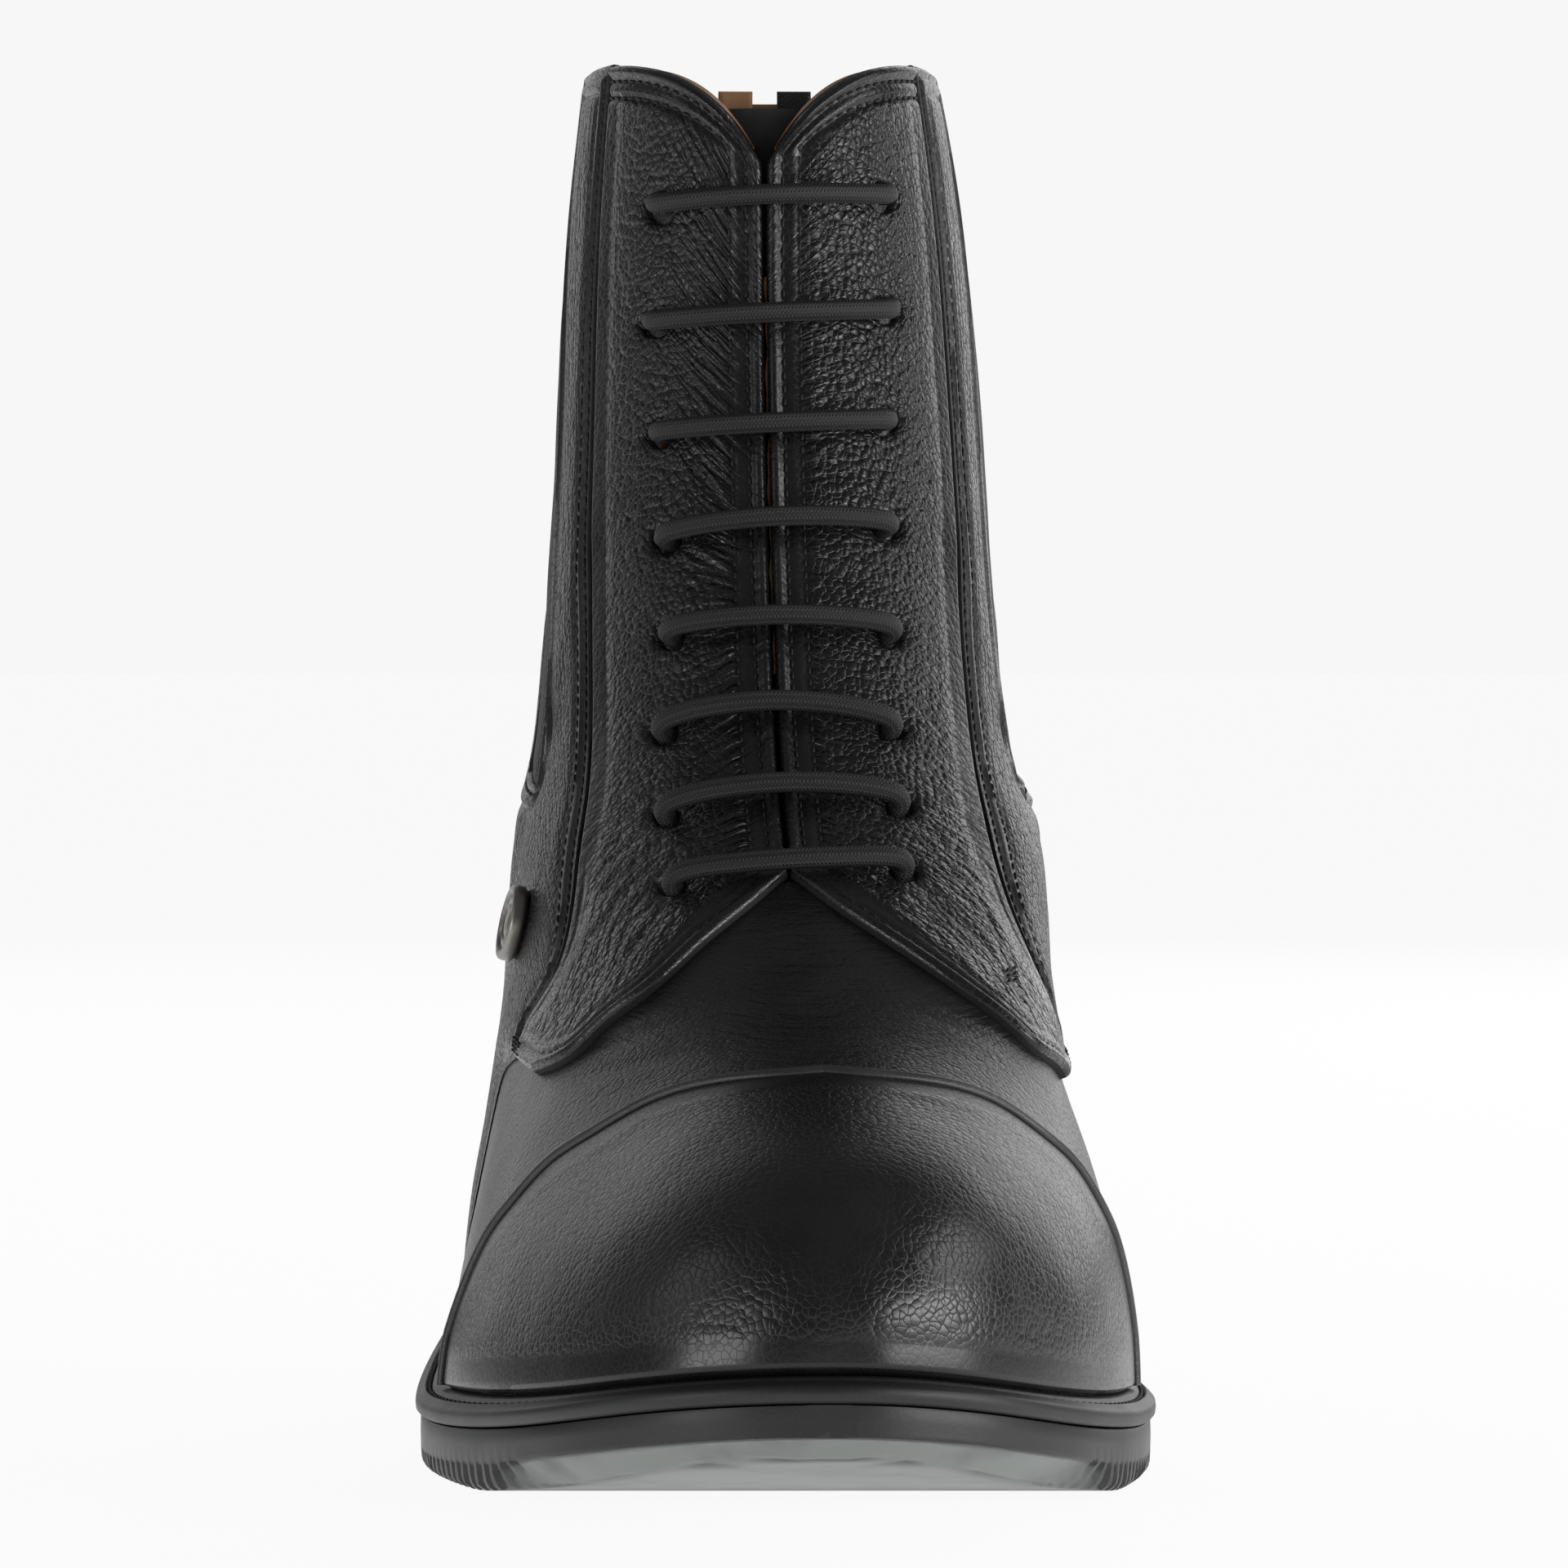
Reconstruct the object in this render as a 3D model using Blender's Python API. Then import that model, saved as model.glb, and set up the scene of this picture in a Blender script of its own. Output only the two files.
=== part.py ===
"""Lace-up ankle boot for the right foot, as separate closed solids.

The toe points to -Y, the outer side of the foot is -X, the inner side is +X and the floor is z = 0.
Sizes below are in millimetres. They become metres when a mesh is made, and ORIGIN_SHIFT then puts
the origin under the middle of the boot.
"""
import math
from collections import namedtuple
from functools import lru_cache

import bmesh
import bpy
import numpy as np

MM = 0.001
ORIGIN_SHIFT = np.array((0.0, 2.5, 0.0))
OUTER = -1
INNER = 1

# Colours
LEATHER = (0.02, 0.02, 0.021)
RUBBER = (0.045, 0.047, 0.045)
TAN = (0.42, 0.22, 0.09)
SUEDE = (0.018, 0.018, 0.018)
CORD = (0.013, 0.013, 0.014)
SILVER = (0.42, 0.41, 0.38)

# Gaps, thicknesses and the bead of the cap
GAP = 0.3
PANEL_GAP = 0.4
WALL = 2.0
SKIN = 1.2
GORE_SKIN = 0.8
SEAM_GAP = 0.6
CUT_REACH = 1.2
FLAT_ANGLE = 1.8
BEAD_WIDTH = 1.7
BEAD_HEIGHT = 2.0
BEAD_RISE = 1.6
BEAD_SHOULDER = 0.7
BEAD_SEAT = 0.6

# Toe and section shape of the upper
TOE_Y = -135.5
TOE_ROUND = 92.0
TOE_POWER = 2.1
BACK_POWER = 2.2
SECTION_POWER_OUTER = 1.85
SECTION_POWER_INNER = 2.6
SECTION_ROOT = 2.0
CREST_SLOPE = 7.0
REAR_START = 15.0
REAR_LENGTH = 75.0

# Front slit, collar dip and lace holes, in levels and millimetres of girth
SLIT_LEVEL = 7.15
SHELL_SLIT_HALF = 1.6
FACING_SLIT_HALF = 0.9
COLLAR_DIP = 0.85
COLLAR_DIP_GIRTH = 8.0
COLLAR_DIP_START = 12.0
LACE_RADIUS = 1.45
LACE_SIDES = 6
HOLE_RADIUS = 2.3
HOLE_SIDES = 6
HOLE_REACH = 4.0

# Foot outline where the upper meets the sole
Plan = namedtuple("Plan", "y centre outer inner")
FOOT_PLAN = (
    Plan(-136, 6.5, 49.0, 38.0),
    Plan(-95, 6.0, 50.0, 41.5),
    Plan(-60, 3.8, 51.0, 44.4),
    Plan(-35, 1.2, 49.2, 46.0),
    Plan(-10, -0.8, 46.3, 42.0),
    Plan(20, -2.4, 41.3, 34.0),
    Plan(55, -3.5, 34.5, 30.5),
    Plan(90, -3.5, 31.5, 31.0),
    Plan(136, -3.0, 31.0, 31.5),
)

# Side profile of the sole: height of its top and how far it stands out past the upper
Sole = namedtuple("Sole", "y top overhang")
SOLE_PROFILE = (
    Sole(-141, 16.4, 4.6),
    Sole(-115, 11.7, 4.4),
    Sole(-85, 8.7, 3.9),
    Sole(-50, 7.9, 3.4),
    Sole(-20, 9.4, 3.4),
    Sole(15, 14.5, 3.4),
    Sole(50, 22.0, 3.2),
    Sole(80, 27.0, 3.2),
    Sole(110, 30.0, 3.4),
    Sole(141, 31.5, 3.6),
)

# Rings of the upper from the sole to the collar. The two rear columns are half widths over the heel.
# foot: share of the foot outline, section: share of the domed cross section, bow: share of the sole's curve
Level = namedtuple(
    "Level",
    "name front_y front_z back_y back_z outer inner outer_rear inner_rear foot section"
    " front_round back_round bow",
)
LEVELS = (
    Level("feather", -135.5, 16.5, 130.0, 31.0, 40, 42, 31.0, 31.5, 1.00, 1.00, 60, 40, 1.00),
    Level("toe wall", -135.2, 24.0, 133.5, 40.0, 40, 42, 32.0, 32.5, 1.00, 1.00, 60, 41, 0.97),
    Level("toe bend", -133.0, 33.5, 135.2, 50.0, 40, 43, 32.8, 33.3, 0.95, 1.00, 60, 42, 0.90),
    Level("toe top", -125.0, 42.5, 135.8, 60.0, 40, 44, 33.2, 34.0, 0.88, 1.00, 60, 43, 0.80),
    Level("cap", -110.0, 49.5, 135.2, 70.0, 40, 45, 33.3, 34.5, 0.78, 1.00, 60, 43, 0.66),
    Level("cap seam", -88.0, 55.8, 133.8, 79.0, 40, 48, 33.3, 35.0, 0.64, 1.00, 60, 43, 0.52),
    Level("vamp", -61.0, 65.5, 132.0, 88.0, 40, 49.5, 33.0, 35.4, 0.48, 0.95, 60, 43, 0.40),
    Level("throat", -34.0, 80.0, 130.0, 97.0, 38, 46.5, 32.8, 35.6, 0.32, 0.80, 60, 43, 0.28),
    Level("instep", -19.0, 90.5, 128.5, 104.0, 34.6, 39.8, 32.5, 35.5, 0.18, 0.60, 58, 43, 0.18),
    Level("ankle", -6.0, 102.6, 127.4, 112.0, 32.6, 36.3, 32.0, 35.0, 0.08, 0.40, 56, 43, 0.10),
    Level("bend", 5.0, 116.8, 126.6, 122.0, 31.6, 34.4, 31.3, 34.2, 0.02, 0.22, 54, 43, 0.05),
    Level("shin", 15.0, 131.5, 126.5, 134.0, 30.7, 33.6, 30.6, 33.4, 0.00, 0.10, 52, 43, 0.00),
    Level("shaft", 23.0, 147.3, 127.0, 148.0, 29.8, 32.6, 29.8, 32.6, 0.00, 0.03, 50, 42, 0.00),
    Level("shaft mid", 29.3, 164.0, 128.6, 163.0, 29.1, 31.3, 29.1, 31.3, 0.00, 0.00, 48, 42, 0.00),
    Level("shaft top", 32.6, 182.5, 131.0, 180.5, 27.6, 28.9, 27.6, 28.9, 0.00, 0.00, 46, 42, 0.00),
    Level("collar", 34.5, 202.5, 133.5, 198.5, 25.2, 25.2, 25.2, 25.2, 0.00, 0.00, 45, 42, 0.00),
)
TOP_LEVEL = len(LEVELS) - 1
ABOVE_COLLAR = TOP_LEVEL + 0.4

# Rings of the hollow shell and its columns on each side
SHELL_LEVELS = (
    0, 0.9, 1.8, 2.7, 3.6, 4.4, 5.1, 5.7, 6.2, 6.7, SLIT_LEVEL,
    7.9, 8.8, 9.8, 10.9, 12.2, 13.6, TOP_LEVEL,
)
SHELL_COLUMNS = 17

# Samples along the curves of the upper
RING_SAMPLES = 721
CREST_SAMPLES = 3000
LEVEL_STEP = 0.002
ANGLE_STEP = 0.015


def through(rows, x_name, y_name):
    """Smooth curve through two columns of a table, as a function."""
    return through_points([getattr(row, x_name) for row in rows], [getattr(row, y_name) for row in rows])


def through_points(xs, ys):
    """Natural cubic curve through points, as a function."""
    xs = np.asarray(xs, float)
    ys = np.asarray(ys, float)
    count = len(xs)
    steps = np.diff(xs)
    slopes = np.diff(ys) / steps
    matrix = np.eye(count)
    right = np.zeros(count)
    for i in range(1, count - 1):
        matrix[i, i - 1:i + 2] = steps[i - 1], 2 * (steps[i - 1] + steps[i]), steps[i]
        right[i] = 6 * (slopes[i] - slopes[i - 1])
    bends = np.linalg.solve(matrix, right)

    def value(at):
        at = np.asarray(at, float)
        i = np.clip(np.searchsorted(xs, at) - 1, 0, count - 2)
        along = at - xs[i]
        start = slopes[i] - steps[i] * (2 * bends[i] + bends[i + 1]) / 6
        cubic = (bends[i + 1] - bends[i]) / (6 * steps[i])
        return ys[i] + start * along + bends[i] / 2 * along ** 2 + cubic * along ** 3

    return value


def ease(value, start, length):
    """Soft step from 0 to 1 over a length."""
    share = np.clip((np.asarray(value, float) - start) / length, 0, 1)
    return share * share * (3 - 2 * share)


def rounding(share, power):
    """Rounded end of an outline: 0 at the tip, 1 from the given length on."""
    share = np.clip(share, 0, 1)
    return (1 - (1 - share) ** power) ** (1 / power)


foot_centre = through(FOOT_PLAN, "y", "centre")
foot_outer = through(FOOT_PLAN, "y", "outer")
foot_inner = through(FOOT_PLAN, "y", "inner")
sole_top = through(SOLE_PROFILE, "y", "top")
sole_overhang = through(SOLE_PROFILE, "y", "overhang")


def level_curves():
    """Each column of the ring table as a smooth function of the level."""
    curves = {}
    for column in Level._fields[1:]:
        values = [getattr(row, column) for row in LEVELS]
        if column in ("front_z", "back_z"):
            values[0] = float(sole_top(getattr(LEVELS[0], column[:-1] + "y")))
        curves[column] = through_points(range(len(LEVELS)), values)
    return curves


CURVES = level_curves()
CREST_LEVELS = np.linspace(0, TOP_LEVEL, CREST_SAMPLES)
CREST_Y = np.maximum.accumulate(CURVES["front_y"](CREST_LEVELS))
CREST_Z = CURVES["front_z"](CREST_LEVELS)


def crest_height(y):
    """Height of the front line over a spot along the foot, running on steeply above the collar."""
    beyond = np.maximum(y - CREST_Y[-1], 0)
    return np.interp(y, CREST_Y, CREST_Z) + CREST_SLOPE * beyond


def boot_point(level, angle):
    """Outside of the upper. Angle 0 is the front line, pi the back line, negative the outer side."""
    level, angle = np.broadcast_arrays(np.asarray(level, float), np.asarray(angle, float))
    angle = (angle + math.pi) % (2 * math.pi) - math.pi
    ring = {column: curve(level) for column, curve in CURVES.items()}
    inner = angle > 0
    along = (1 - np.cos(angle)) / 2
    y = ring["front_y"] + along * (ring["back_y"] - ring["front_y"])
    sole = sole_top(y)
    sole_front = sole_top(ring["front_y"])
    sole_back = sole_top(ring["back_y"])
    chord = sole_front + along * (sole_back - sole_front)
    bow = np.clip(ring["bow"], 0, 1) * (sole - chord)
    z = ring["front_z"] + along * (ring["back_z"] - ring["front_z"]) + bow
    toe = rounding((y - TOE_Y) / TOE_ROUND, TOE_POWER)
    foot = np.where(inner, foot_inner(y), foot_outer(y)) * toe
    fore = np.where(inner, ring["inner"], ring["outer"])
    rear = np.where(inner, ring["inner_rear"], ring["outer_rear"])
    leg = fore + ease(y, REAR_START, REAR_LENGTH) * (rear - fore)
    share = np.clip(ring["foot"], 0, 1)
    height = np.clip((z - sole) / np.maximum(crest_height(y) - sole, GAP), 0, 1)
    power = np.where(inner, SECTION_POWER_INNER, SECTION_POWER_OUTER)
    dome = (1 - height ** power) ** (1 / SECTION_ROOT)
    oval = rounding((y - ring["front_y"]) / ring["front_round"], SECTION_ROOT)
    domed = np.clip(ring["section"], 0, 1)
    back = rounding((ring["back_y"] - y) / ring["back_round"], BACK_POWER)
    half = (share * foot + (1 - share) * leg) * (domed * dome + (1 - domed) * oval) * back
    x = foot_centre(y) + np.where(inner, half, -half)
    return np.stack([x, y, z], -1)


def boot_normal(level, angle):
    """Direction straight out of the upper."""
    around = boot_point(level, angle + ANGLE_STEP) - boot_point(level, angle - ANGLE_STEP)
    up = boot_point(level + LEVEL_STEP, angle) - boot_point(level - LEVEL_STEP, angle)
    normal = np.cross(around, up)
    return normal / np.linalg.norm(normal, axis=-1, keepdims=True)


def boot_offset(level, angle, offset):
    """Spot at a distance outside the upper, or inside it if negative."""
    return boot_point(level, angle) + offset * boot_normal(level, angle)


@lru_cache(maxsize=None)
def ring_girth(level):
    """Angles round one ring, and the girth from the front line at each."""
    angles = np.linspace(-math.pi, math.pi, RING_SAMPLES)
    steps = np.linalg.norm(np.diff(boot_point(level, angles), axis=0), axis=1)
    girth = np.concatenate(([0.0], np.cumsum(steps)))
    return angles, girth - girth[RING_SAMPLES // 2]


def angle_at(level, girth):
    """Angle of a spot given by its girth from the front line, negative on the outer side."""
    angles, girths = ring_girth(round(float(level), 4))
    return float(np.interp(girth, girths, angles))


def girth_at(level, angle):
    """Girth from the front line to an angle."""
    angles, girths = ring_girth(round(float(level), 4))
    return float(np.interp(angle, angles, girths))


def half_girth(level, side):
    """Girth from the front line to the back line on one side."""
    angles, girths = ring_girth(round(float(level), 4))
    return float(girths[-1] if side == INNER else -girths[0])


def dipped(level, girth):
    """Level lowered beside the front slit, where the collar dips to a V."""
    dip = COLLAR_DIP * math.exp(-abs(girth) / COLLAR_DIP_GIRTH)
    return level - dip * float(ease(level, COLLAR_DIP_START, TOP_LEVEL - COLLAR_DIP_START))


def paint(name, color, roughness, metallic=0.0):
    """Plain surface for one piece."""
    material = bpy.data.materials.new(name)
    material.use_nodes = True
    shader = material.node_tree.nodes["Principled BSDF"]
    shader.inputs["Base Color"].default_value = (*color, 1.0)
    shader.inputs["Roughness"].default_value = roughness
    shader.inputs["Metallic"].default_value = metallic
    return material


def add_solid(name, points, faces, material):
    """One closed body from points in millimetres, in triangles that face out."""
    mesh = bpy.data.meshes.new(name)
    mesh.from_pydata([tuple((np.asarray(point) + ORIGIN_SHIFT) * MM) for point in points], [], faces)
    body = bmesh.new()
    body.from_mesh(mesh)
    bmesh.ops.delete(body, geom=[v for v in body.verts if not v.link_faces], context="VERTS")
    bmesh.ops.triangulate(body, faces=body.faces[:])
    bmesh.ops.recalc_face_normals(body, faces=body.faces[:])
    body.to_mesh(mesh)
    body.free()
    mesh.materials.append(material)
    solid = bpy.data.objects.new(name, mesh)
    bpy.context.scene.collection.objects.link(solid)
    return solid


def loft(name, sections, material, ring=False):
    """Body through closed sections, capped at both ends or closed to a ring."""
    sections = np.asarray(sections, float)
    count, size = sections.shape[:2]
    faces = []
    for i in range(count if ring else count - 1):
        here = i * size
        there = (i + 1) % count * size
        for k in range(size):
            after = (k + 1) % size
            faces.append((here + k, here + after, there + after, there + k))
    if not ring:
        faces.append(tuple(range(size)))
        faces.append(tuple(range(count * size - 1, (count - 1) * size - 1, -1)))
    return add_solid(name, sections.reshape(-1, 3), faces, material)


def panel(name, grid, low, high, material, keep=None, ring=False, flat_foot=False):
    """Panel between two distances from the upper, over a grid of (level, angle) spots."""
    grid = np.asarray(grid, float)
    rows, columns = grid.shape[:2]
    outside = boot_offset(grid[..., 0], grid[..., 1], high)
    inside = boot_offset(grid[..., 0], grid[..., 1], low)
    if flat_foot:
        inside[0, :, 2] = outside[0, :, 2]
    spans = columns if ring else columns - 1
    if keep is None:
        keep = np.ones((rows - 1, spans), bool)
    shift = rows * columns
    faces = []
    for r in range(rows - 1):
        for c in range(spans):
            if not keep[r, c]:
                continue
            after = (c + 1) % columns
            corners = (r * columns + c, r * columns + after, (r + 1) * columns + after, (r + 1) * columns + c)
            faces.append(corners)
            faces.append(tuple(shift + v for v in reversed(corners)))
            around = ((r - 1, c), (r, c + 1), (r + 1, c), (r, c - 1))
            for edge, (row, column) in enumerate(around):
                column = column % spans if ring else column
                if 0 <= row < rows - 1 and 0 <= column < spans and keep[row, column]:
                    continue
                start = corners[edge]
                end = corners[(edge + 1) % 4]
                faces.append((end, start, shift + start, shift + end))
    points = np.concatenate([outside.reshape(-1, 3), inside.reshape(-1, 3)])
    return add_solid(name, points, faces, material)


def shell_row(level):
    """Spots of the shell round one level, with one narrow column over the front slit."""
    slit_outer = angle_at(level, -SHELL_SLIT_HALF)
    slit_inner = angle_at(level, SHELL_SLIT_HALF)
    angles = np.concatenate([
        np.linspace(-math.pi, slit_outer, SHELL_COLUMNS + 1),
        np.linspace(slit_inner, math.pi, SHELL_COLUMNS + 1)[:-1],
    ])
    return [(dipped(level, girth_at(level, angle)), angle) for angle in angles]


def make_upper(material):
    """Hollow upper, open at the collar, along the front slit and underneath."""
    grid = [shell_row(level) for level in SHELL_LEVELS]
    keep = np.ones((len(SHELL_LEVELS) - 1, 2 * SHELL_COLUMNS + 1), bool)
    keep[SHELL_LEVELS.index(SLIT_LEVEL):, SHELL_COLUMNS] = False
    return panel("upper", grid, -WALL, 0.0, material, keep, ring=True, flat_foot=True)


def hide_cutter(cutter):
    """Keep a cutting body out of sight."""
    cutter.hide_render = True
    cutter.display_type = "WIRE"
    return cutter


def cut(solid, cutter, operation):
    """Cut a piece with another body."""
    step = solid.modifiers.new(cutter.name, "BOOLEAN")
    step.operation = operation
    step.solver = "EXACT"
    step.object = cutter


def merge_flat(solid):
    """Join the flat slivers that cuts leave."""
    step = solid.modifiers.new("flat faces", "DECIMATE")
    step.decimate_type = "DISSOLVE"
    step.angle_limit = math.radians(FLAT_ANGLE)


def overlay(name, outline, thickness, material, keep=None):
    """Panel laid on the upper: a layer over the whole shell, cut to an outline of (level, angle) spots."""
    grid = [shell_row(level) for level in SHELL_LEVELS]
    low = PANEL_GAP
    high = PANEL_GAP + thickness
    layer = panel(name, grid, low, high, material, ring=True)
    cutter = panel(name + " outline", outline, low - CUT_REACH, high + CUT_REACH, material, keep)
    cut(layer, hide_cutter(cutter), "INTERSECT")
    return layer


# Sole sizes
SIDEWALL = 4.9
TREAD_EDGE = 0.8
TOE_LIFT = 9.4
FLAT_START = -85.0
FLAT_END = -28.0
TOE_LIFT_POWER = 1.6
TOE_TIP = -140.0
ARCH_RUN = 30.0
WAIST_SOLE = 6.6
BREAST_Y = 68.0
BREAST_STEP = 0.2
BEVEL_INSET = 7.5
BEVEL_END = -103.0
EDGE_INSET = 0.4
RIB_START = -104.0
RIB_END = -20.0
RIB_PITCH = 3.0
RIB_DEPTH = 0.9
TREAD_BAND = 10.0
HEEL_INSET = 2.4
HEEL_TURN = 1.0
MOST_INSET = 0.35
MOST_BAND = 0.42
TIP_STEP = 0.2
TOE_STATIONS = 10
WAIST_STATIONS = 8
HEEL_STATIONS = 11


def offset_outline(offset):
    """Outline of the upper's foot at a distance, as x over y for each side."""
    angles = np.linspace(-math.pi, math.pi, RING_SAMPLES)
    flat = boot_point(0.0, angles)[:, :2]
    tangent = np.gradient(flat, axis=0)
    out = np.stack([tangent[:, 1], -tangent[:, 0]], -1)
    out /= np.linalg.norm(out, axis=1, keepdims=True)
    moved = flat + out * np.reshape(offset(flat[:, 1]), (-1, 1))
    middle = RING_SAMPLES // 2
    outer = moved[middle::-1]
    inner = moved[middle:]
    return outer, inner


def outline_x(edge, y):
    """x of one side of an outline at y."""
    order = np.argsort(edge[:, 1])
    return np.interp(y, edge[order, 1], edge[order, 0])


def tread_height(y):
    """Underside of the sole: toe spring, flat forefoot, arch and flat heel."""
    if y > BREAST_Y:
        return 0.0
    if y < FLAT_START:
        return TOE_LIFT * ((FLAT_START - y) / (FLAT_START - TOE_TIP)) ** TOE_LIFT_POWER
    arch = float(sole_top(BREAST_Y)) - WAIST_SOLE
    return arch * float(ease(y, FLAT_END, BREAST_Y + ARCH_RUN - FLAT_END)) if y > FLAT_END else 0.0


def sole_stations(front, back):
    """Spots along the sole with a groove flag: toe, ribbed forefoot, waist, heel breast and heel."""
    toe = np.linspace(0, 1, TOE_STATIONS) ** 2 * (RIB_START - front) + front
    ribs = np.arange(RIB_START, RIB_END, RIB_PITCH / 2)[1:]
    waist = np.linspace(RIB_END, BREAST_Y - BREAST_STEP, WAIST_STATIONS)
    turn = np.linspace(0, 1, HEEL_STATIONS)
    heel = back - (1 - turn) ** 2 * (back - BREAST_Y - BREAST_STEP)
    stations = [(y, False) for y in toe]
    stations += [(y, i % 2 == 0) for i, y in enumerate(ribs)]
    stations += [(y, False) for y in waist]
    stations += [(y, False) for y in heel]
    return stations


def sole_section(y, groove, outer_edge, inner_edge):
    """Closed outline of the sole across the foot: top, sidewall, ribbed edge and tread."""
    left = outline_x(outer_edge, y)
    right = outline_x(inner_edge, y)
    width = right - left
    top = float(sole_top(y)) - GAP
    tread = tread_height(y)
    side = max(top - SIDEWALL, tread + TREAD_EDGE)
    heel = float(ease(y, BREAST_Y, HEEL_TURN)) if y > BREAST_Y else 0.0
    toe = 1.0 - float(ease(y, BEVEL_END - BEVEL_INSET, BEVEL_INSET))
    inset = EDGE_INSET + BEVEL_INSET * toe + HEEL_INSET * heel + (RIB_DEPTH if groove else 0.0)
    inset = min(inset, width * MOST_INSET)
    band = min(inset + TREAD_BAND, width * MOST_BAND)
    edge = tread + TREAD_EDGE * (1 - heel) * (1 - toe) + (RIB_DEPTH if groove else 0.0)
    return [
        (left, y, top), (right, y, top), (right, y, side), (right - inset, y, edge),
        (right - band, y, tread), (left + band, y, tread), (left + inset, y, edge), (left, y, side),
    ]


def make_outsole(material):
    """Moulded sole and heel in one body."""
    outer_edge, inner_edge = offset_outline(sole_overhang)
    front = outer_edge[:, 1].min() + TIP_STEP
    back = outer_edge[:, 1].max() - TIP_STEP
    sections = [sole_section(y, groove, outer_edge, inner_edge) for y, groove in sole_stations(front, back)]
    return loft("outsole", sections, material)


# Welt sizes
WELT_LEVEL = 0.5
WELT_RIM = 0.7
WELT_EDGE = 2.3
WELT_BULGE = 0.5
GROOVE_DEPTH = 0.8
GROOVE_WIDTH = 1.1
GROOVE_PLACE = 0.52


def welt_section(angle):
    """Outline of the welt across its rim: inner wall, sloping top with a groove, rounded edge."""
    foot = boot_point(0.0, angle)
    out = boot_normal(0.0, angle)
    out = np.array([out[0], out[1], 0.0])
    out /= np.linalg.norm(out)
    overhang = float(sole_overhang(foot[1])) + WELT_RIM
    inner_low = foot + GAP * out
    inner_top = boot_offset(WELT_LEVEL, angle, GAP)
    edge = foot + overhang * out
    edge[2] = sole_top(edge[1])
    edge_top = edge + (0, 0, WELT_EDGE)
    slope = edge_top - inner_top
    place = inner_top + slope * GROOVE_PLACE
    half = slope / np.linalg.norm(slope) * GROOVE_WIDTH / 2
    bottom = place - (0, 0, GROOVE_DEPTH)
    shoulder = edge_top - out * WELT_BULGE
    nose = edge + (0, 0, WELT_EDGE - WELT_BULGE)
    foot_edge = edge - out * WELT_BULGE
    foot_edge[2] = sole_top(foot_edge[1])
    return [inner_low, inner_top, place - half, bottom, place + half, shoulder, nose, foot_edge]


def make_welt(material):
    """Rim round the upper on top of the sole."""
    sections = [welt_section(angle) for level, angle in shell_row(0.0)]
    return loft("welt", sections, material, ring=True)


# Insole and tongue sizes
INSOLE_THICK = 4.0
INSOLE_CLEAR = 0.8
INSOLE_STATIONS = 22
INSOLE_EDGE = 1.2
TONGUE_THICK = 2.0
TONGUE_CLEAR = 0.7
TONGUE_HALF = 21.0
TONGUE_COLUMNS = 7
TONGUE_LEVELS = (6.3, 7.0, 7.7, 8.4, 9.1, 9.9, 10.8, 11.8, 13.0, 14.62)


def make_insole(material):
    """Footbed inside the upper, on top of the sole."""
    outer_edge, inner_edge = offset_outline(lambda y: np.full(len(y), -WALL - INSOLE_CLEAR))
    front = outer_edge[:, 1].min() + TIP_STEP
    back = outer_edge[:, 1].max() - TIP_STEP
    turn = (1 - np.cos(np.linspace(0, math.pi, INSOLE_STATIONS))) / 2
    sections = []
    for y in front + turn * (back - front):
        left = outline_x(outer_edge, y)
        right = outline_x(inner_edge, y)
        edge = min(INSOLE_EDGE, (right - left) / 4)
        low = float(sole_top(y))
        shoulder = low + INSOLE_THICK - INSOLE_EDGE
        top = low + INSOLE_THICK
        sections.append([
            (left, y, low), (left, y, shoulder), (left + edge, y, top),
            (right - edge, y, top), (right, y, shoulder), (right, y, low),
        ])
    return loft("insole", sections, material)


def make_tongue(material):
    """Tongue behind the front slit, inside the shell."""
    girths = np.linspace(-TONGUE_HALF, TONGUE_HALF, TONGUE_COLUMNS)
    grid = [[(level, angle_at(level, girth)) for girth in girths] for level in TONGUE_LEVELS]
    high = -WALL - TONGUE_CLEAR
    return panel("tongue", grid, high - TONGUE_THICK, high, material)


# Seam of the toe cap: level at a girth from the front line, stretched a little on the outer side
CapSeam = namedtuple("CapSeam", "girth level")
CAP_SEAM = (
    CapSeam(0, 5.07),
    CapSeam(18, 4.83),
    CapSeam(34, 4.45),
    CapSeam(52, 3.86),
    CapSeam(67, 3.38),
    CapSeam(79, 2.83),
    CapSeam(90, 2.10),
    CapSeam(96, 1.25),
)
CAP_STRETCH = {OUTER: 1.03, INNER: 0.96}
CAP_LOW = 0.56
CAP_COLUMNS = 27
CAP_ROWS = 10
CAP_CROWD = 0.5
cap_level = through(CAP_SEAM, "girth", "level")


def cap_girths():
    """Girths of the cap's columns, closer together round the toe."""
    turn = np.linspace(-1, 1, CAP_COLUMNS)
    return CAP_SEAM[-1].girth * ((1 - CAP_CROWD) * turn + CAP_CROWD * turn ** 3)


def cap_spot(girth):
    """Level and angle of the cap seam at a girth measured on a mean side."""
    side = INNER if girth > 0 else OUTER
    level = float(cap_level(abs(girth)))
    return level, angle_at(level, girth * CAP_STRETCH[side])


def seam_frame(level, angle, before, after):
    """Spot on a seam with the directions out of the upper and across the seam, away from the toe."""
    spot = boot_point(level, angle)
    out = boot_normal(level, angle)
    along = boot_point(*after) - boot_point(*before)
    across = np.cross(along, out)
    across /= np.linalg.norm(across)
    return spot, out, across if across[1] + across[2] > 0 else -across


def cap_frames():
    """Seam of the cap as a row of frames."""
    spots = [cap_spot(girth) for girth in cap_girths()]
    last = len(spots) - 1
    return [
        seam_frame(*spot, spots[max(i - 1, 0)], spots[min(i + 1, last)])
        for i, spot in enumerate(spots)
    ]


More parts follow.
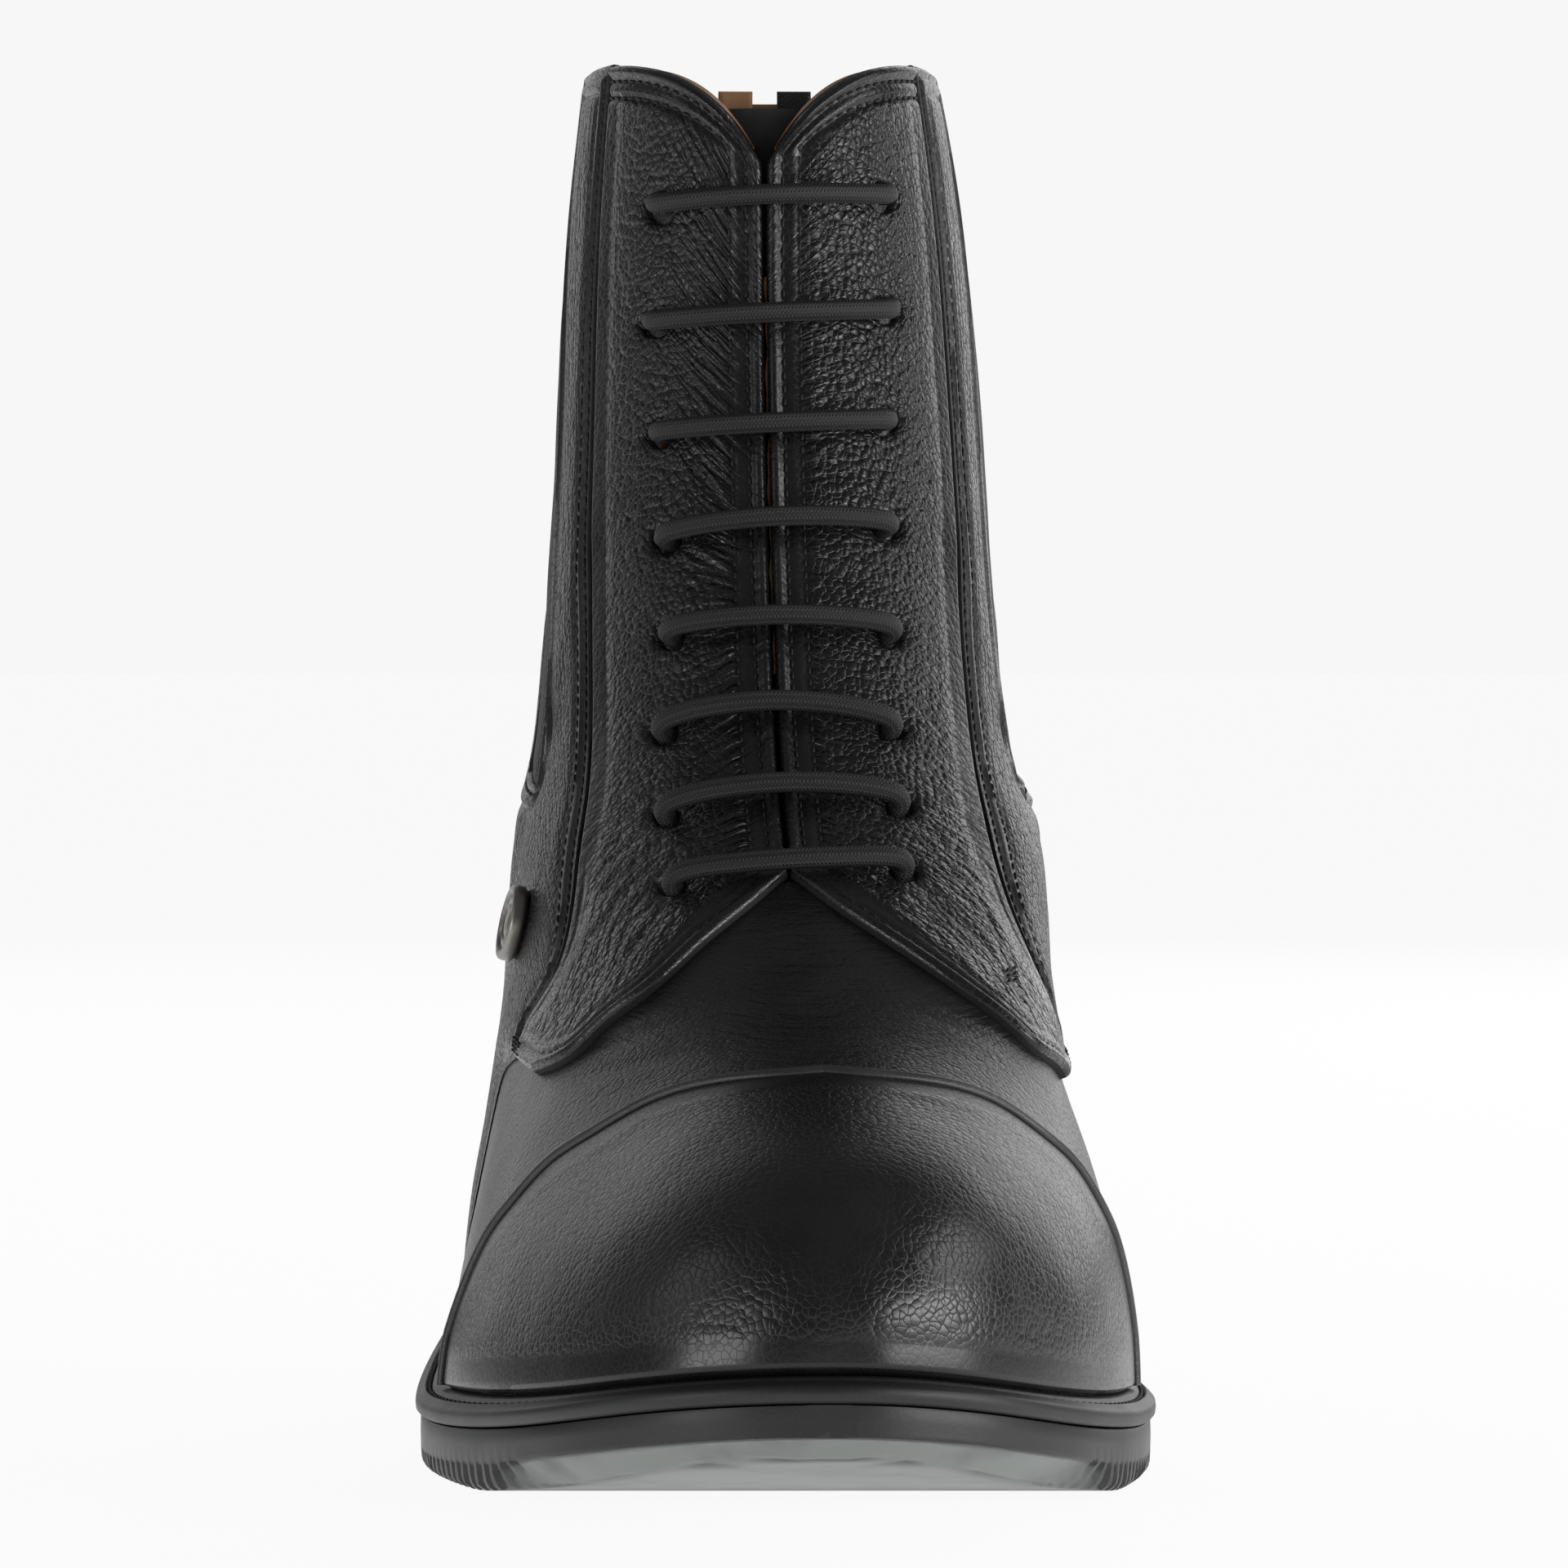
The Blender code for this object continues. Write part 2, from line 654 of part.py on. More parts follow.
def make_toe_cap(material):
    """Leather cap over the toe, from just above the welt to the bead."""
    back_off = BEAD_WIDTH / 2 + GAP
    columns = []
    for girth, (spot, out, across) in zip(cap_girths(), cap_frames()):
        level, angle = cap_spot(girth)
        step = boot_point(level + LEVEL_STEP, angle) - spot
        top = level - back_off * LEVEL_STEP / max(float(step @ across), LEVEL_STEP)
        stretched = girth * CAP_STRETCH[INNER if girth > 0 else OUTER]
        rows = CAP_LOW + (top - CAP_LOW) * np.linspace(0, 1, CAP_ROWS)
        columns.append([(row, angle_at(row, stretched)) for row in rows])
    grid = np.swapaxes(np.asarray(columns), 0, 1)
    return overlay("toe_cap", grid, SKIN, material)


def make_cap_bead(material):
    """Rolled bead along the back edge of the cap."""
    half = BEAD_WIDTH / 2
    shoulder = BEAD_SHOULDER * half
    outline = (
        (-half, BEAD_SEAT), (-shoulder, BEAD_RISE), (0, BEAD_HEIGHT),
        (shoulder, BEAD_RISE), (half, BEAD_SEAT),
    )
    sections = [
        [spot + across * side + out * rise for side, rise in outline]
        for spot, out, across in cap_frames()
    ]
    return loft("cap_bead", sections, material)


# Seam between facing and side strip, running on as the front edge of the quarters down to the sole
SideSeam = namedtuple("SideSeam", "level outer inner")
SIDE_SEAM = (
    SideSeam(0.56, 150, 132),
    SideSeam(2.0, 144, 124),
    SideSeam(3.5, 135, 113),
    SideSeam(4.1, 121, 104),
    SideSeam(4.45, 105, 95.5),
    SideSeam(5.0, 91, 82),
    SideSeam(5.5, 76, 67.5),
    SideSeam(6.0, 61.5, 55),
    SideSeam(6.6, 50, 44),
    SideSeam(7.7, 40.5, 38.8),
    SideSeam(9.7, 35.7, 37.2),
    SideSeam(12.5, 33.2, 35.4),
    SideSeam(15.0, 31.6, 32.6),
)
# Lower edge of each facing over the vamp
FacingEdge = namedtuple("FacingEdge", "level outer inner")
FACING_EDGE = (
    FacingEdge(4.45, 86, 79),
    FacingEdge(4.7, 72.5, 70),
    FacingEdge(5.0, 61, 56),
    FacingEdge(5.5, 46, 40),
    FacingEdge(6.0, 29, 26),
    FacingEdge(6.5, 15, 13.5),
    FacingEdge(6.9, 5.5, 5.0),
    FacingEdge(7.17, 0.9, 0.9),
)
SEAM_LEVELS = (4.45, 4.75, 5.1, 5.5, 6.0, 6.5, 6.9, 7.17, 7.8, 8.6, 9.5, 10.6, 12.0, 13.5, ABOVE_COLLAR)
FACING_COLUMNS = 7
SIDE_NAME = {OUTER: "outer", INNER: "inner"}
side_seam = {side: through(SIDE_SEAM, "level", name) for side, name in SIDE_NAME.items()}
facing_edge = {side: through(FACING_EDGE, "level", name) for side, name in SIDE_NAME.items()}


def facing_row(level, side):
    """Spots of one facing across a level, from the slit or lower edge to the side seam."""
    start = FACING_SLIT_HALF
    if level < FACING_EDGE[-1].level:
        start = max(float(facing_edge[side](level)), FACING_SLIT_HALF)
    end = float(side_seam[side](level)) - SEAM_GAP / 2
    girths = side * np.linspace(start, end, FACING_COLUMNS)
    spots = [(level, angle_at(level, girth)) for girth in girths]
    return spots if side == INNER else spots[::-1]


def make_facing(side, material):
    """Facing with its lace holes, laid over the vamp."""
    grid = [facing_row(level, side) for level in SEAM_LEVELS]
    return overlay("facing_" + SIDE_NAME[side], grid, SKIN, material)


# Elastic gores: girth of the front and back edge of each window
Gore = namedtuple("Gore", "level front back")
GORES = (
    Gore(7.8, 69, 88),
    Gore(8.7, 61, 92),
    Gore(9.8, 56.5, 95),
    Gore(11.2, 54, 97),
    Gore(12.8, 52.5, 99),
    Gore(14.0, 53, 100),
    Gore(15.0, 54.5, 101),
)
GORE_CLEAR = 0.4
GORE_SILL = 0.06
GORE_SPANS = 3
STRIP_SPANS = 3
BACK_SPANS = 10
BACK_CROWD = 1.5
FRONT_SHARE = 0.22
BACK_SHARE = 0.42
QUARTER_LEVELS = (0.56, 1.4, 2.4, 3.4) + SEAM_LEVELS
gore_front = through(GORES, "level", "front")
gore_back = through(GORES, "level", "back")


def window_edges(level, side):
    """Girths of the gore window at a level, running on below it as plain column lines."""
    seam = float(side_seam[side](level))
    rest = half_girth(level, side) - seam
    low = GORES[0].level
    if level >= low:
        return float(gore_front(level)), float(gore_back(level))
    sill_seam = float(side_seam[side](low))
    sill_rest = half_girth(low, side) - sill_seam
    fade = float(ease(level, 0, low))
    front = fade * (GORES[0].front - sill_seam) / sill_rest + (1 - fade) * FRONT_SHARE
    back = fade * (GORES[0].back - sill_seam) / sill_rest + (1 - fade) * BACK_SHARE
    return seam + front * rest, seam + back * rest


def quarter_girths(level, side):
    """Girths of the quarters' columns on one side: side strip, gore window, back."""
    front, back = window_edges(level, side)
    strip = np.linspace(float(side_seam[side](level)) + SEAM_GAP / 2, front, STRIP_SPANS + 1)
    window = np.linspace(front, back, GORE_SPANS + 1)
    crowd = 1 - (1 - np.linspace(0, 1, BACK_SPANS + 1)) ** BACK_CROWD
    rear = back + crowd * (half_girth(level, side) - back)
    return np.concatenate([strip, window[1:], rear[1:]])


def make_quarters(material):
    """Side strips, lower quarters and back as one panel with a window for each gore."""
    grid = []
    for level in QUARTER_LEVELS:
        inner = [angle_at(level, girth) for girth in quarter_girths(level, INNER)]
        outer = [2 * math.pi + angle_at(level, -girth) for girth in quarter_girths(level, OUTER)]
        grid.append([(level, angle) for angle in inner + outer[-2::-1]])
    spans = 2 * (STRIP_SPANS + GORE_SPANS + BACK_SPANS)
    keep = np.ones((len(QUARTER_LEVELS) - 1, spans), bool)
    sill = QUARTER_LEVELS.index(GORES[0].level)
    keep[sill:, STRIP_SPANS:STRIP_SPANS + GORE_SPANS] = False
    keep[sill:, spans - STRIP_SPANS - GORE_SPANS:spans - STRIP_SPANS] = False
    return overlay("quarters", grid, SKIN, material, keep)


def make_gore(side, material):
    """Elastic panel in one window of the quarters."""
    grid = []
    sill = GORES[0].level
    for level in QUARTER_LEVELS[QUARTER_LEVELS.index(sill):]:
        front = float(gore_front(level)) + GORE_CLEAR
        back = float(gore_back(level)) - GORE_CLEAR
        girths = side * np.linspace(front, back, GORE_SPANS + 1)
        height = level + (GORE_SILL if level == sill else 0.0)
        spots = [(height, angle_at(height, girth)) for girth in girths]
        grid.append(spots if side == INNER else spots[::-1])
    return overlay("gore_" + SIDE_NAME[side], grid, GORE_SKIN, material)


# Lace holes from the top down: level and girth of each end, and how many levels the middle arches up
Bar = namedtuple("Bar", "outer_level outer_girth inner_level inner_girth arch")
LACE_BARS = (
    Bar(13.86, 16.6, 13.94, 19.4, 0.03),
    Bar(12.89, 17.3, 13.00, 19.4, 0.0),
    Bar(11.88, 16.4, 11.99, 18.4, 0.0),
    Bar(10.88, 15.8, 11.00, 18.2, 0.10),
    Bar(9.92, 15.6, 9.94, 18.2, 0.12),
    Bar(8.91, 17.8, 8.94, 17.4, 0.25),
    Bar(7.87, 18.6, 8.02, 17.8, 0.28),
    Bar(6.94, 19.0, 7.15, 17.2, 0.12),
)
# Way of a bar from its hole: how far in from the hole and how far off the upper
LaceStep = namedtuple("LaceStep", "inward rise")
LACE_END = (LaceStep(0.0, 0.8), LaceStep(0.0, 2.0), LaceStep(1.3, 3.3), LaceStep(3.2, 3.7))
LACE_MIDDLE = (0.45, 0.0)
LACE_LIFT = 3.85


def lace_path(bar):
    """Middle line of one lace bar from its outer hole to its inner hole."""
    spots = []
    for side, girth in ((OUTER, bar.outer_girth), (INNER, bar.inner_girth)):
        half = [(side * (girth - step.inward), step.rise) for step in LACE_END]
        half += [(side * girth * share, LACE_LIFT) for share in LACE_MIDDLE]
        spots += half if side == OUTER else half[-2::-1]
    points = []
    for girth, rise in spots:
        share = (girth + bar.outer_girth) / (bar.outer_girth + bar.inner_girth)
        level = bar.outer_level + share * (bar.inner_level - bar.outer_level)
        level += bar.arch * 4 * share * (1 - share)
        points.append(boot_offset(level, angle_at(level, girth), rise))
    return np.asarray(points)


def make_lace_bar(number, bar, material):
    """One bar of round cord that dips into a hole at each end."""
    path = lace_path(bar)
    tangents = np.gradient(path, axis=0)
    tangents /= np.linalg.norm(tangents, axis=1, keepdims=True)
    upright = boot_normal(bar.outer_level, 0.0)
    level_way = np.cross(upright, path[-1] - path[0])
    level_way /= np.linalg.norm(level_way)
    turns = np.arange(LACE_SIDES) * 2 * math.pi / LACE_SIDES
    sections = []
    for point, tangent in zip(path, tangents):
        across = level_way - (level_way @ tangent) * tangent
        across /= np.linalg.norm(across)
        lift = np.cross(tangent, across)
        sections.append([point + LACE_RADIUS * (math.cos(t) * across + math.sin(t) * lift) for t in turns])
    return loft(f"lace_bar_{number}", sections, material)


def make_hole_cutter():
    """All lace holes as one cutting body."""
    points = []
    faces = []
    turns = np.arange(HOLE_SIDES) * 2 * math.pi / HOLE_SIDES
    for bar in LACE_BARS:
        for level, girth in ((bar.outer_level, -bar.outer_girth), (bar.inner_level, bar.inner_girth)):
            angle = angle_at(level, girth)
            out = boot_normal(level, angle)
            side = np.cross(out, (0, 0, 1))
            side /= np.linalg.norm(side)
            up = np.cross(side, out)
            base = len(points)
            for rise in (-HOLE_REACH, HOLE_REACH):
                middle = boot_offset(level, angle, rise)
                points += [middle + HOLE_RADIUS * (math.cos(t) * side + math.sin(t) * up) for t in turns]
            for k in range(HOLE_SIDES):
                after = (k + 1) % HOLE_SIDES
                faces.append((base + k, base + after, base + HOLE_SIDES + after, base + HOLE_SIDES + k))
            faces.append(tuple(base + k for k in reversed(range(HOLE_SIDES))))
            faces.append(tuple(base + HOLE_SIDES + k for k in range(HOLE_SIDES)))
    return hide_cutter(add_solid("lace holes", points, faces, paint("cutter", SILVER, 0.5)))


# Plain disc on the outer side: radius and height of each ring of its face
DISC_LEVEL = 6.07
DISC_GIRTH = -88.0
DISC_SIDES = 16
DISC_RINGS = ((5.2, 0.0), (5.6, 0.4), (5.6, 1.7), (5.1, 2.2), (4.3, 2.2), (3.9, 1.6), (1.6, 1.6))
TAB_LEVELS = (13.9, 14.5, TOP_LEVEL, 15.1)
TAB_NEAR = 2.2
TAB_FAR = 8.8
TAB_COLUMNS = 3
TAB_THICK = 1.1
TAB_CLEAR = 0.5


def make_side_disc(material):
    """Plain metal disc with a raised rim, on the outer quarter."""
    angle = angle_at(DISC_LEVEL, DISC_GIRTH)
    out = boot_normal(DISC_LEVEL, angle)
    side = np.cross(out, (0, 0, 1))
    side /= np.linalg.norm(side)
    up = np.cross(side, out)
    seat = boot_offset(DISC_LEVEL, angle, PANEL_GAP + SKIN + GAP)
    turns = np.arange(DISC_SIDES) * 2 * math.pi / DISC_SIDES
    sections = [
        [seat + out * rise + radius * (math.cos(t) * side + math.sin(t) * up) for t in turns]
        for radius, rise in DISC_RINGS
    ]
    return loft("side_disc", sections, material)


def make_pull_tab(side, material):
    """Short tab sewn inside the back of the collar."""
    grid = []
    for level in TAB_LEVELS:
        edge = half_girth(level, side)
        girths = side * np.linspace(edge - TAB_FAR, edge - TAB_NEAR, TAB_COLUMNS)
        spots = [(level, angle_at(level, girth)) for girth in girths]
        grid.append(spots if side == INNER else spots[::-1])
    high = -WALL - TAB_CLEAR
    return panel("pull_tab_" + SIDE_NAME[side], grid, high - TAB_THICK, high, material)


def clear_scene():
    """Empty scene."""
    for thing in list(bpy.data.objects):
        bpy.data.objects.remove(thing, do_unlink=True)


def main():
    """Build every piece."""
    clear_scene()
    holes = make_hole_cutter()
    upper = make_upper(paint("upper leather", LEATHER, 0.45))
    cut(upper, holes, "DIFFERENCE")
    merge_flat(upper)
    make_outsole(paint("sole rubber", RUBBER, 0.6))
    make_welt(paint("welt rubber", RUBBER, 0.55))
    make_insole(paint("insole leather", TAN, 0.7))
    make_tongue(paint("tongue suede", SUEDE, 0.9))
    merge_flat(make_toe_cap(paint("cap leather", LEATHER, 0.35)))
    make_cap_bead(paint("bead leather", LEATHER, 0.4))
    merge_flat(make_quarters(paint("quarter leather", LEATHER, 0.45)))
    for side, name in SIDE_NAME.items():
        facing = make_facing(side, paint(name + " facing leather", LEATHER, 0.45))
        cut(facing, holes, "DIFFERENCE")
        merge_flat(facing)
        merge_flat(make_gore(side, paint(name + " gore elastic", CORD, 0.9)))
        make_pull_tab(side, paint(name + " tab cloth", SUEDE, 0.9))
    for number, bar in enumerate(LACE_BARS, 1):
        make_lace_bar(number, bar, paint(f"lace cord {number}", CORD, 0.8))
    make_side_disc(paint("disc metal", SILVER, 0.4, 1.0))


if __name__ == "__main__":
    main()
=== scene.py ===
"""Looks of a black lace-up ankle boot, laid over its fixed solids.

The toe points to -Y, the outer side of the foot is -X and the floor is z = 0. Sizes are millimetres
on the boot and become metres when a mesh is made. A spot on the upper is given by its level, from 0
at the sole to 15 at the collar, and its girth from the front line, negative on the outer side.
"""
import math
from collections import namedtuple

import bpy
import numpy as np
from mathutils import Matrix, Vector, kdtree, noise


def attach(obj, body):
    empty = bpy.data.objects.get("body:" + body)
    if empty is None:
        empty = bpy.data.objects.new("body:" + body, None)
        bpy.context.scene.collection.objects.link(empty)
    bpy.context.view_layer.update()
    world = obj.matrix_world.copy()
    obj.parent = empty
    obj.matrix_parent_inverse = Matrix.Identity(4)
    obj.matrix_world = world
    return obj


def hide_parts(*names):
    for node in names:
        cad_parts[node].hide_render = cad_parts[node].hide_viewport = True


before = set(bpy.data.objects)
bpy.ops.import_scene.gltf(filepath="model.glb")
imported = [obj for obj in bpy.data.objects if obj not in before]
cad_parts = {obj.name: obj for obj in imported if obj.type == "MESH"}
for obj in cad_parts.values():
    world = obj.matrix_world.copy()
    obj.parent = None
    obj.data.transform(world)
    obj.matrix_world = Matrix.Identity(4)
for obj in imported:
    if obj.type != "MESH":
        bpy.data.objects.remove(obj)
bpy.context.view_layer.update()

bl_info = {
    "name": "Lace-up ankle boot",
    "version": (1, 0, 0),
    "blender": (4, 5, 0),
    "location": "3D View > Sidebar > Boot",
    "description": "Leather, rubber, cord and thread of a lace-up ankle boot in a plain studio",
    "category": "Object",
}

MM = 0.001
ORIGIN_SHIFT = np.array((0.0, 2.5, 0.0))
OUTER = -1
INNER = 1
SIDES = (OUTER, INNER)
SIDE_NAME = {OUTER: "outer", INNER: "inner"}

# Leather and gaps of the solids
GAP = 0.3
PANEL_GAP = 0.4
WALL = 2.0
SKIN = 1.2
GORE_SKIN = 0.8
SEAM_GAP = 0.6
BEAD_WIDTH = 1.7
BEAD_HEIGHT = 2.0

# Toe and section shape of the upper
TOE_Y = -135.5
TOE_ROUND = 92.0
TOE_POWER = 2.1
BACK_POWER = 2.2
SECTION_POWER_OUTER = 1.85
SECTION_POWER_INNER = 2.6
SECTION_ROOT = 2.0
CREST_SLOPE = 7.0
REAR_START = 15.0
REAR_LENGTH = 75.0

# Front slit and collar dip
SLIT_LEVEL = 7.15
SHELL_SLIT_HALF = 1.6
FACING_SLIT_HALF = 0.25
COLLAR_DIP = 0.85
COLLAR_DIP_GIRTH = 8.0
COLLAR_DIP_START = 12.0
LINING_PEEK = 0.02

Plan = namedtuple("Plan", "y centre outer inner")
FOOT_PLAN = (
    Plan(-136, 6.5, 49.0, 38.0),
    Plan(-95, 6.0, 50.0, 41.5),
    Plan(-60, 3.8, 51.0, 44.4),
    Plan(-35, 1.2, 49.2, 46.0),
    Plan(-10, -0.8, 46.3, 42.0),
    Plan(20, -2.4, 41.3, 34.0),
    Plan(55, -3.5, 34.5, 30.5),
    Plan(90, -3.5, 31.5, 31.0),
    Plan(136, -3.0, 31.0, 31.5),
)
Sole = namedtuple("Sole", "y top overhang")
SOLE_PROFILE = (
    Sole(-141, 16.4, 4.6),
    Sole(-115, 11.7, 4.4),
    Sole(-85, 8.7, 3.9),
    Sole(-50, 7.9, 3.4),
    Sole(-20, 9.4, 3.4),
    Sole(15, 14.5, 3.4),
    Sole(50, 22.0, 3.2),
    Sole(80, 27.0, 3.2),
    Sole(110, 30.0, 3.4),
    Sole(141, 31.5, 3.6),
)
Level = namedtuple(
    "Level",
    "name front_y front_z back_y back_z outer inner outer_rear inner_rear foot section"
    " front_round back_round bow",
)
LEVELS = (
    Level("feather", -135.5, 16.5, 130.0, 31.0, 40, 42, 31.0, 31.5, 1.00, 1.00, 60, 40, 1.00),
    Level("toe wall", -135.2, 24.0, 133.5, 40.0, 40, 42, 32.0, 32.5, 1.00, 1.00, 60, 41, 0.97),
    Level("toe bend", -133.0, 33.5, 135.2, 50.0, 40, 43, 32.8, 33.3, 0.95, 1.00, 60, 42, 0.90),
    Level("toe top", -125.0, 42.5, 135.8, 60.0, 40, 44, 33.2, 34.0, 0.88, 1.00, 60, 43, 0.80),
    Level("cap", -110.0, 49.5, 135.2, 70.0, 40, 45, 33.3, 34.5, 0.78, 1.00, 60, 43, 0.66),
    Level("cap seam", -88.0, 55.8, 133.8, 79.0, 40, 48, 33.3, 35.0, 0.64, 1.00, 60, 43, 0.52),
    Level("vamp", -61.0, 65.5, 132.0, 88.0, 40, 49.5, 33.0, 35.4, 0.48, 0.95, 60, 43, 0.40),
    Level("throat", -34.0, 80.0, 130.0, 97.0, 38, 46.5, 32.8, 35.6, 0.32, 0.80, 60, 43, 0.28),
    Level("instep", -19.0, 90.5, 128.5, 104.0, 34.6, 39.8, 32.5, 35.5, 0.18, 0.60, 58, 43, 0.18),
    Level("ankle", -6.0, 102.6, 127.4, 112.0, 32.6, 36.3, 32.0, 35.0, 0.08, 0.40, 56, 43, 0.10),
    Level("bend", 5.0, 116.8, 126.6, 122.0, 31.6, 34.4, 31.3, 34.2, 0.02, 0.22, 54, 43, 0.05),
    Level("shin", 15.0, 131.5, 126.5, 134.0, 30.7, 33.6, 30.6, 33.4, 0.00, 0.10, 52, 43, 0.00),
    Level("shaft", 23.0, 147.3, 127.0, 148.0, 29.8, 32.6, 29.8, 32.6, 0.00, 0.03, 50, 42, 0.00),
    Level("shaft mid", 29.3, 164.0, 128.6, 163.0, 29.1, 31.3, 29.1, 31.3, 0.00, 0.00, 48, 42, 0.00),
    Level("shaft top", 32.6, 182.5, 131.0, 180.5, 27.6, 28.9, 27.6, 28.9, 0.00, 0.00, 46, 42, 0.00),
    Level("collar", 34.5, 202.5, 133.5, 198.5, 25.2, 25.2, 25.2, 25.2, 0.00, 0.00, 45, 42, 0.00),
)
TOP_LEVEL = len(LEVELS) - 1

CapSeam = namedtuple("CapSeam", "girth level")
CAP_SEAM = (
    CapSeam(0, 5.07),
    CapSeam(18, 4.83),
    CapSeam(34, 4.45),
    CapSeam(52, 3.86),
    CapSeam(67, 3.38),
    CapSeam(79, 2.83),
    CapSeam(90, 2.10),
    CapSeam(96, 1.25),
)
CAP_STRETCH = {OUTER: 1.03, INNER: 0.96}
CAP_LOW = 0.5

SideSeam = namedtuple("SideSeam", "level outer inner")
SIDE_SEAM = (
    SideSeam(0.56, 150, 132),
    SideSeam(2.0, 144, 124),
    SideSeam(3.5, 135, 113),
    SideSeam(4.1, 121, 104),
    SideSeam(4.45, 105, 95.5),
    SideSeam(5.0, 91, 82),
    SideSeam(5.5, 76, 67.5),
    SideSeam(6.0, 61.5, 55),
    SideSeam(6.6, 50, 44),
    SideSeam(7.7, 40.5, 38.8),
    SideSeam(9.7, 35.7, 37.2),
    SideSeam(12.5, 33.2, 35.4),
    SideSeam(15.0, 31.6, 32.6),
)
FacingEdge = namedtuple("FacingEdge", "level outer inner")
FACING_EDGE = (
    FacingEdge(4.45, 86, 79),
    FacingEdge(4.7, 72.5, 70),
    FacingEdge(5.0, 61, 56),
    FacingEdge(5.5, 46, 40),
    FacingEdge(6.0, 29, 26),
    FacingEdge(6.5, 15, 13.5),
    FacingEdge(6.9, 5.5, 5.0),
    FacingEdge(7.17, 0.9, 0.9),
)
Gore = namedtuple("Gore", "level front back")
GORES = (
    Gore(7.8, 69, 88),
    Gore(8.7, 61, 92),
    Gore(9.8, 56.5, 95),
    Gore(11.2, 54, 97),
    Gore(12.8, 52.5, 99),
    Gore(14.0, 53, 100),
    Gore(15.0, 54.5, 101),
)
GORE_SILL = 7.8
FRONT_SHARE = 0.22
BACK_SHARE = 0.42

# Lace holes from the top down: level and girth of each end, and how many levels the middle arches up
Bar = namedtuple("Bar", "outer_level outer_girth inner_level inner_girth arch")
LACE_BARS = (
    Bar(13.86, 16.6, 13.94, 19.4, 0.03),
    Bar(12.89, 17.3, 13.00, 19.4, 0.0),
    Bar(11.88, 16.4, 11.99, 18.4, 0.0),
    Bar(10.88, 15.8, 11.00, 18.2, 0.10),
    Bar(9.92, 15.6, 9.94, 18.2, 0.12),
    Bar(8.91, 17.8, 8.94, 17.4, 0.25),
    Bar(7.87, 18.6, 8.02, 17.8, 0.28),
    Bar(6.94, 19.0, 7.15, 17.2, 0.12),
)

# Creases pressed into the leather: depth and width of the trough, then its way as (level, girth) spots
Crease = namedtuple("Crease", "depth width way")
FACING_CREASES = (
    Crease(0.55, 1.9, ((7.67, -16.2), (7.20, -25.6), (6.66, -40.1))),
    Crease(0.45, 1.7, ((7.37, -19.1), (6.98, -26.6), (6.56, -37.7), (6.11, -50.0))),
    Crease(0.50, 1.8, ((6.63, -23.1), (6.34, -30.5), (6.05, -38.6))),
    Crease(0.60, 1.5, ((5.72, -66.0), (5.46, -62.0))),
    Crease(0.45, 1.4, ((5.67, -71.8), (5.25, -85.0))),
    Crease(0.30, 1.4, ((13.50, -5.8), (13.89, -9.5), (14.11, -13.0))),
    Crease(0.30, 1.3, ((12.45, -6.0), (12.70, -9.0), (12.85, -13.5))),
    Crease(0.32, 1.5, ((11.38, -6.0), (11.60, -10.0), (11.75, -16.0))),
    Crease(0.35, 1.6, ((10.44, -6.6), (10.62, -12.0), (10.72, -20.0))),
    Crease(0.30, 1.6, ((11.05, -28.0), (11.40, -21.0))),
    Crease(0.35, 1.7, ((9.55, -7.0), (9.45, -14.0), (9.20, -24.0))),
    Crease(0.40, 1.8, ((8.50, -7.0), (8.35, -15.0), (7.95, -27.0))),
    Crease(0.35, 1.6, ((11.71, 6.0), (11.56, 11.4), (11.40, 17.1))),
    Crease(0.38, 1.7, ((10.62, 6.0), (10.49, 12.1), (10.30, 21.0))),
    Crease(0.40, 1.8, ((9.56, 6.0), (9.39, 11.3), (9.00, 20.0))),
    Crease(0.40, 1.8, ((8.55, 6.5), (8.35, 14.0), (7.95, 25.0))),
    Crease(0.55, 1.9, ((7.00, 19.0), (6.65, 25.7), (6.31, 33.0))),
    Crease(0.60, 1.4, ((6.10, 40.0), (5.69, 44.5))),
    Crease(0.45, 1.5, ((6.74, 33.0), (6.25, 39.5))),
)
QUARTER_CREASES = (
    Crease(0.50, 1.8, ((7.59, -53.0), (6.90, -59.5), (6.30, -74.0))),
    Crease(0.45, 1.9, ((6.67, -82.0), (6.06, -104.0), (5.33, -126.0))),
    Crease(0.50, 1.6, ((5.60, -92.0), (5.00, -110.0), (4.63, -116.0))),
    Crease(0.50, 1.8, ((8.77, 45.5), (7.60, 54.0), (6.69, 66.0))),
    Crease(0.45, 1.7, ((7.92, 47.0), (6.98, 54.0), (6.21, 77.5))),
    Crease(0.60, 2.6, ((7.10, 118.0), (6.60, 90.0))),
    Crease(0.60, 2.6, ((7.20, -120.0), (6.70, -96.0))),
    Crease(0.50, 2.4, ((8.60, 112.0), (8.10, 132.0))),
    Crease(0.50, 2.4, ((8.50, -113.0), (8.00, -132.0))),
)
VAMP_CREASES = (
    Crease(0.30, 2.0, ((4.97, -64.5), (5.40, -42.1), (5.75, -22.3))),
    Crease(0.28, 2.2, ((4.50, -68.0), (4.97, -45.1), (5.36, -22.4))),
    Crease(0.30, 2.0, ((5.98, 13.1), (5.70, 24.0), (5.19, 42.2))),
    Crease(0.25, 2.0, ((6.29, 11.2), (6.03, 19.2), (5.70, 30.6))),
)


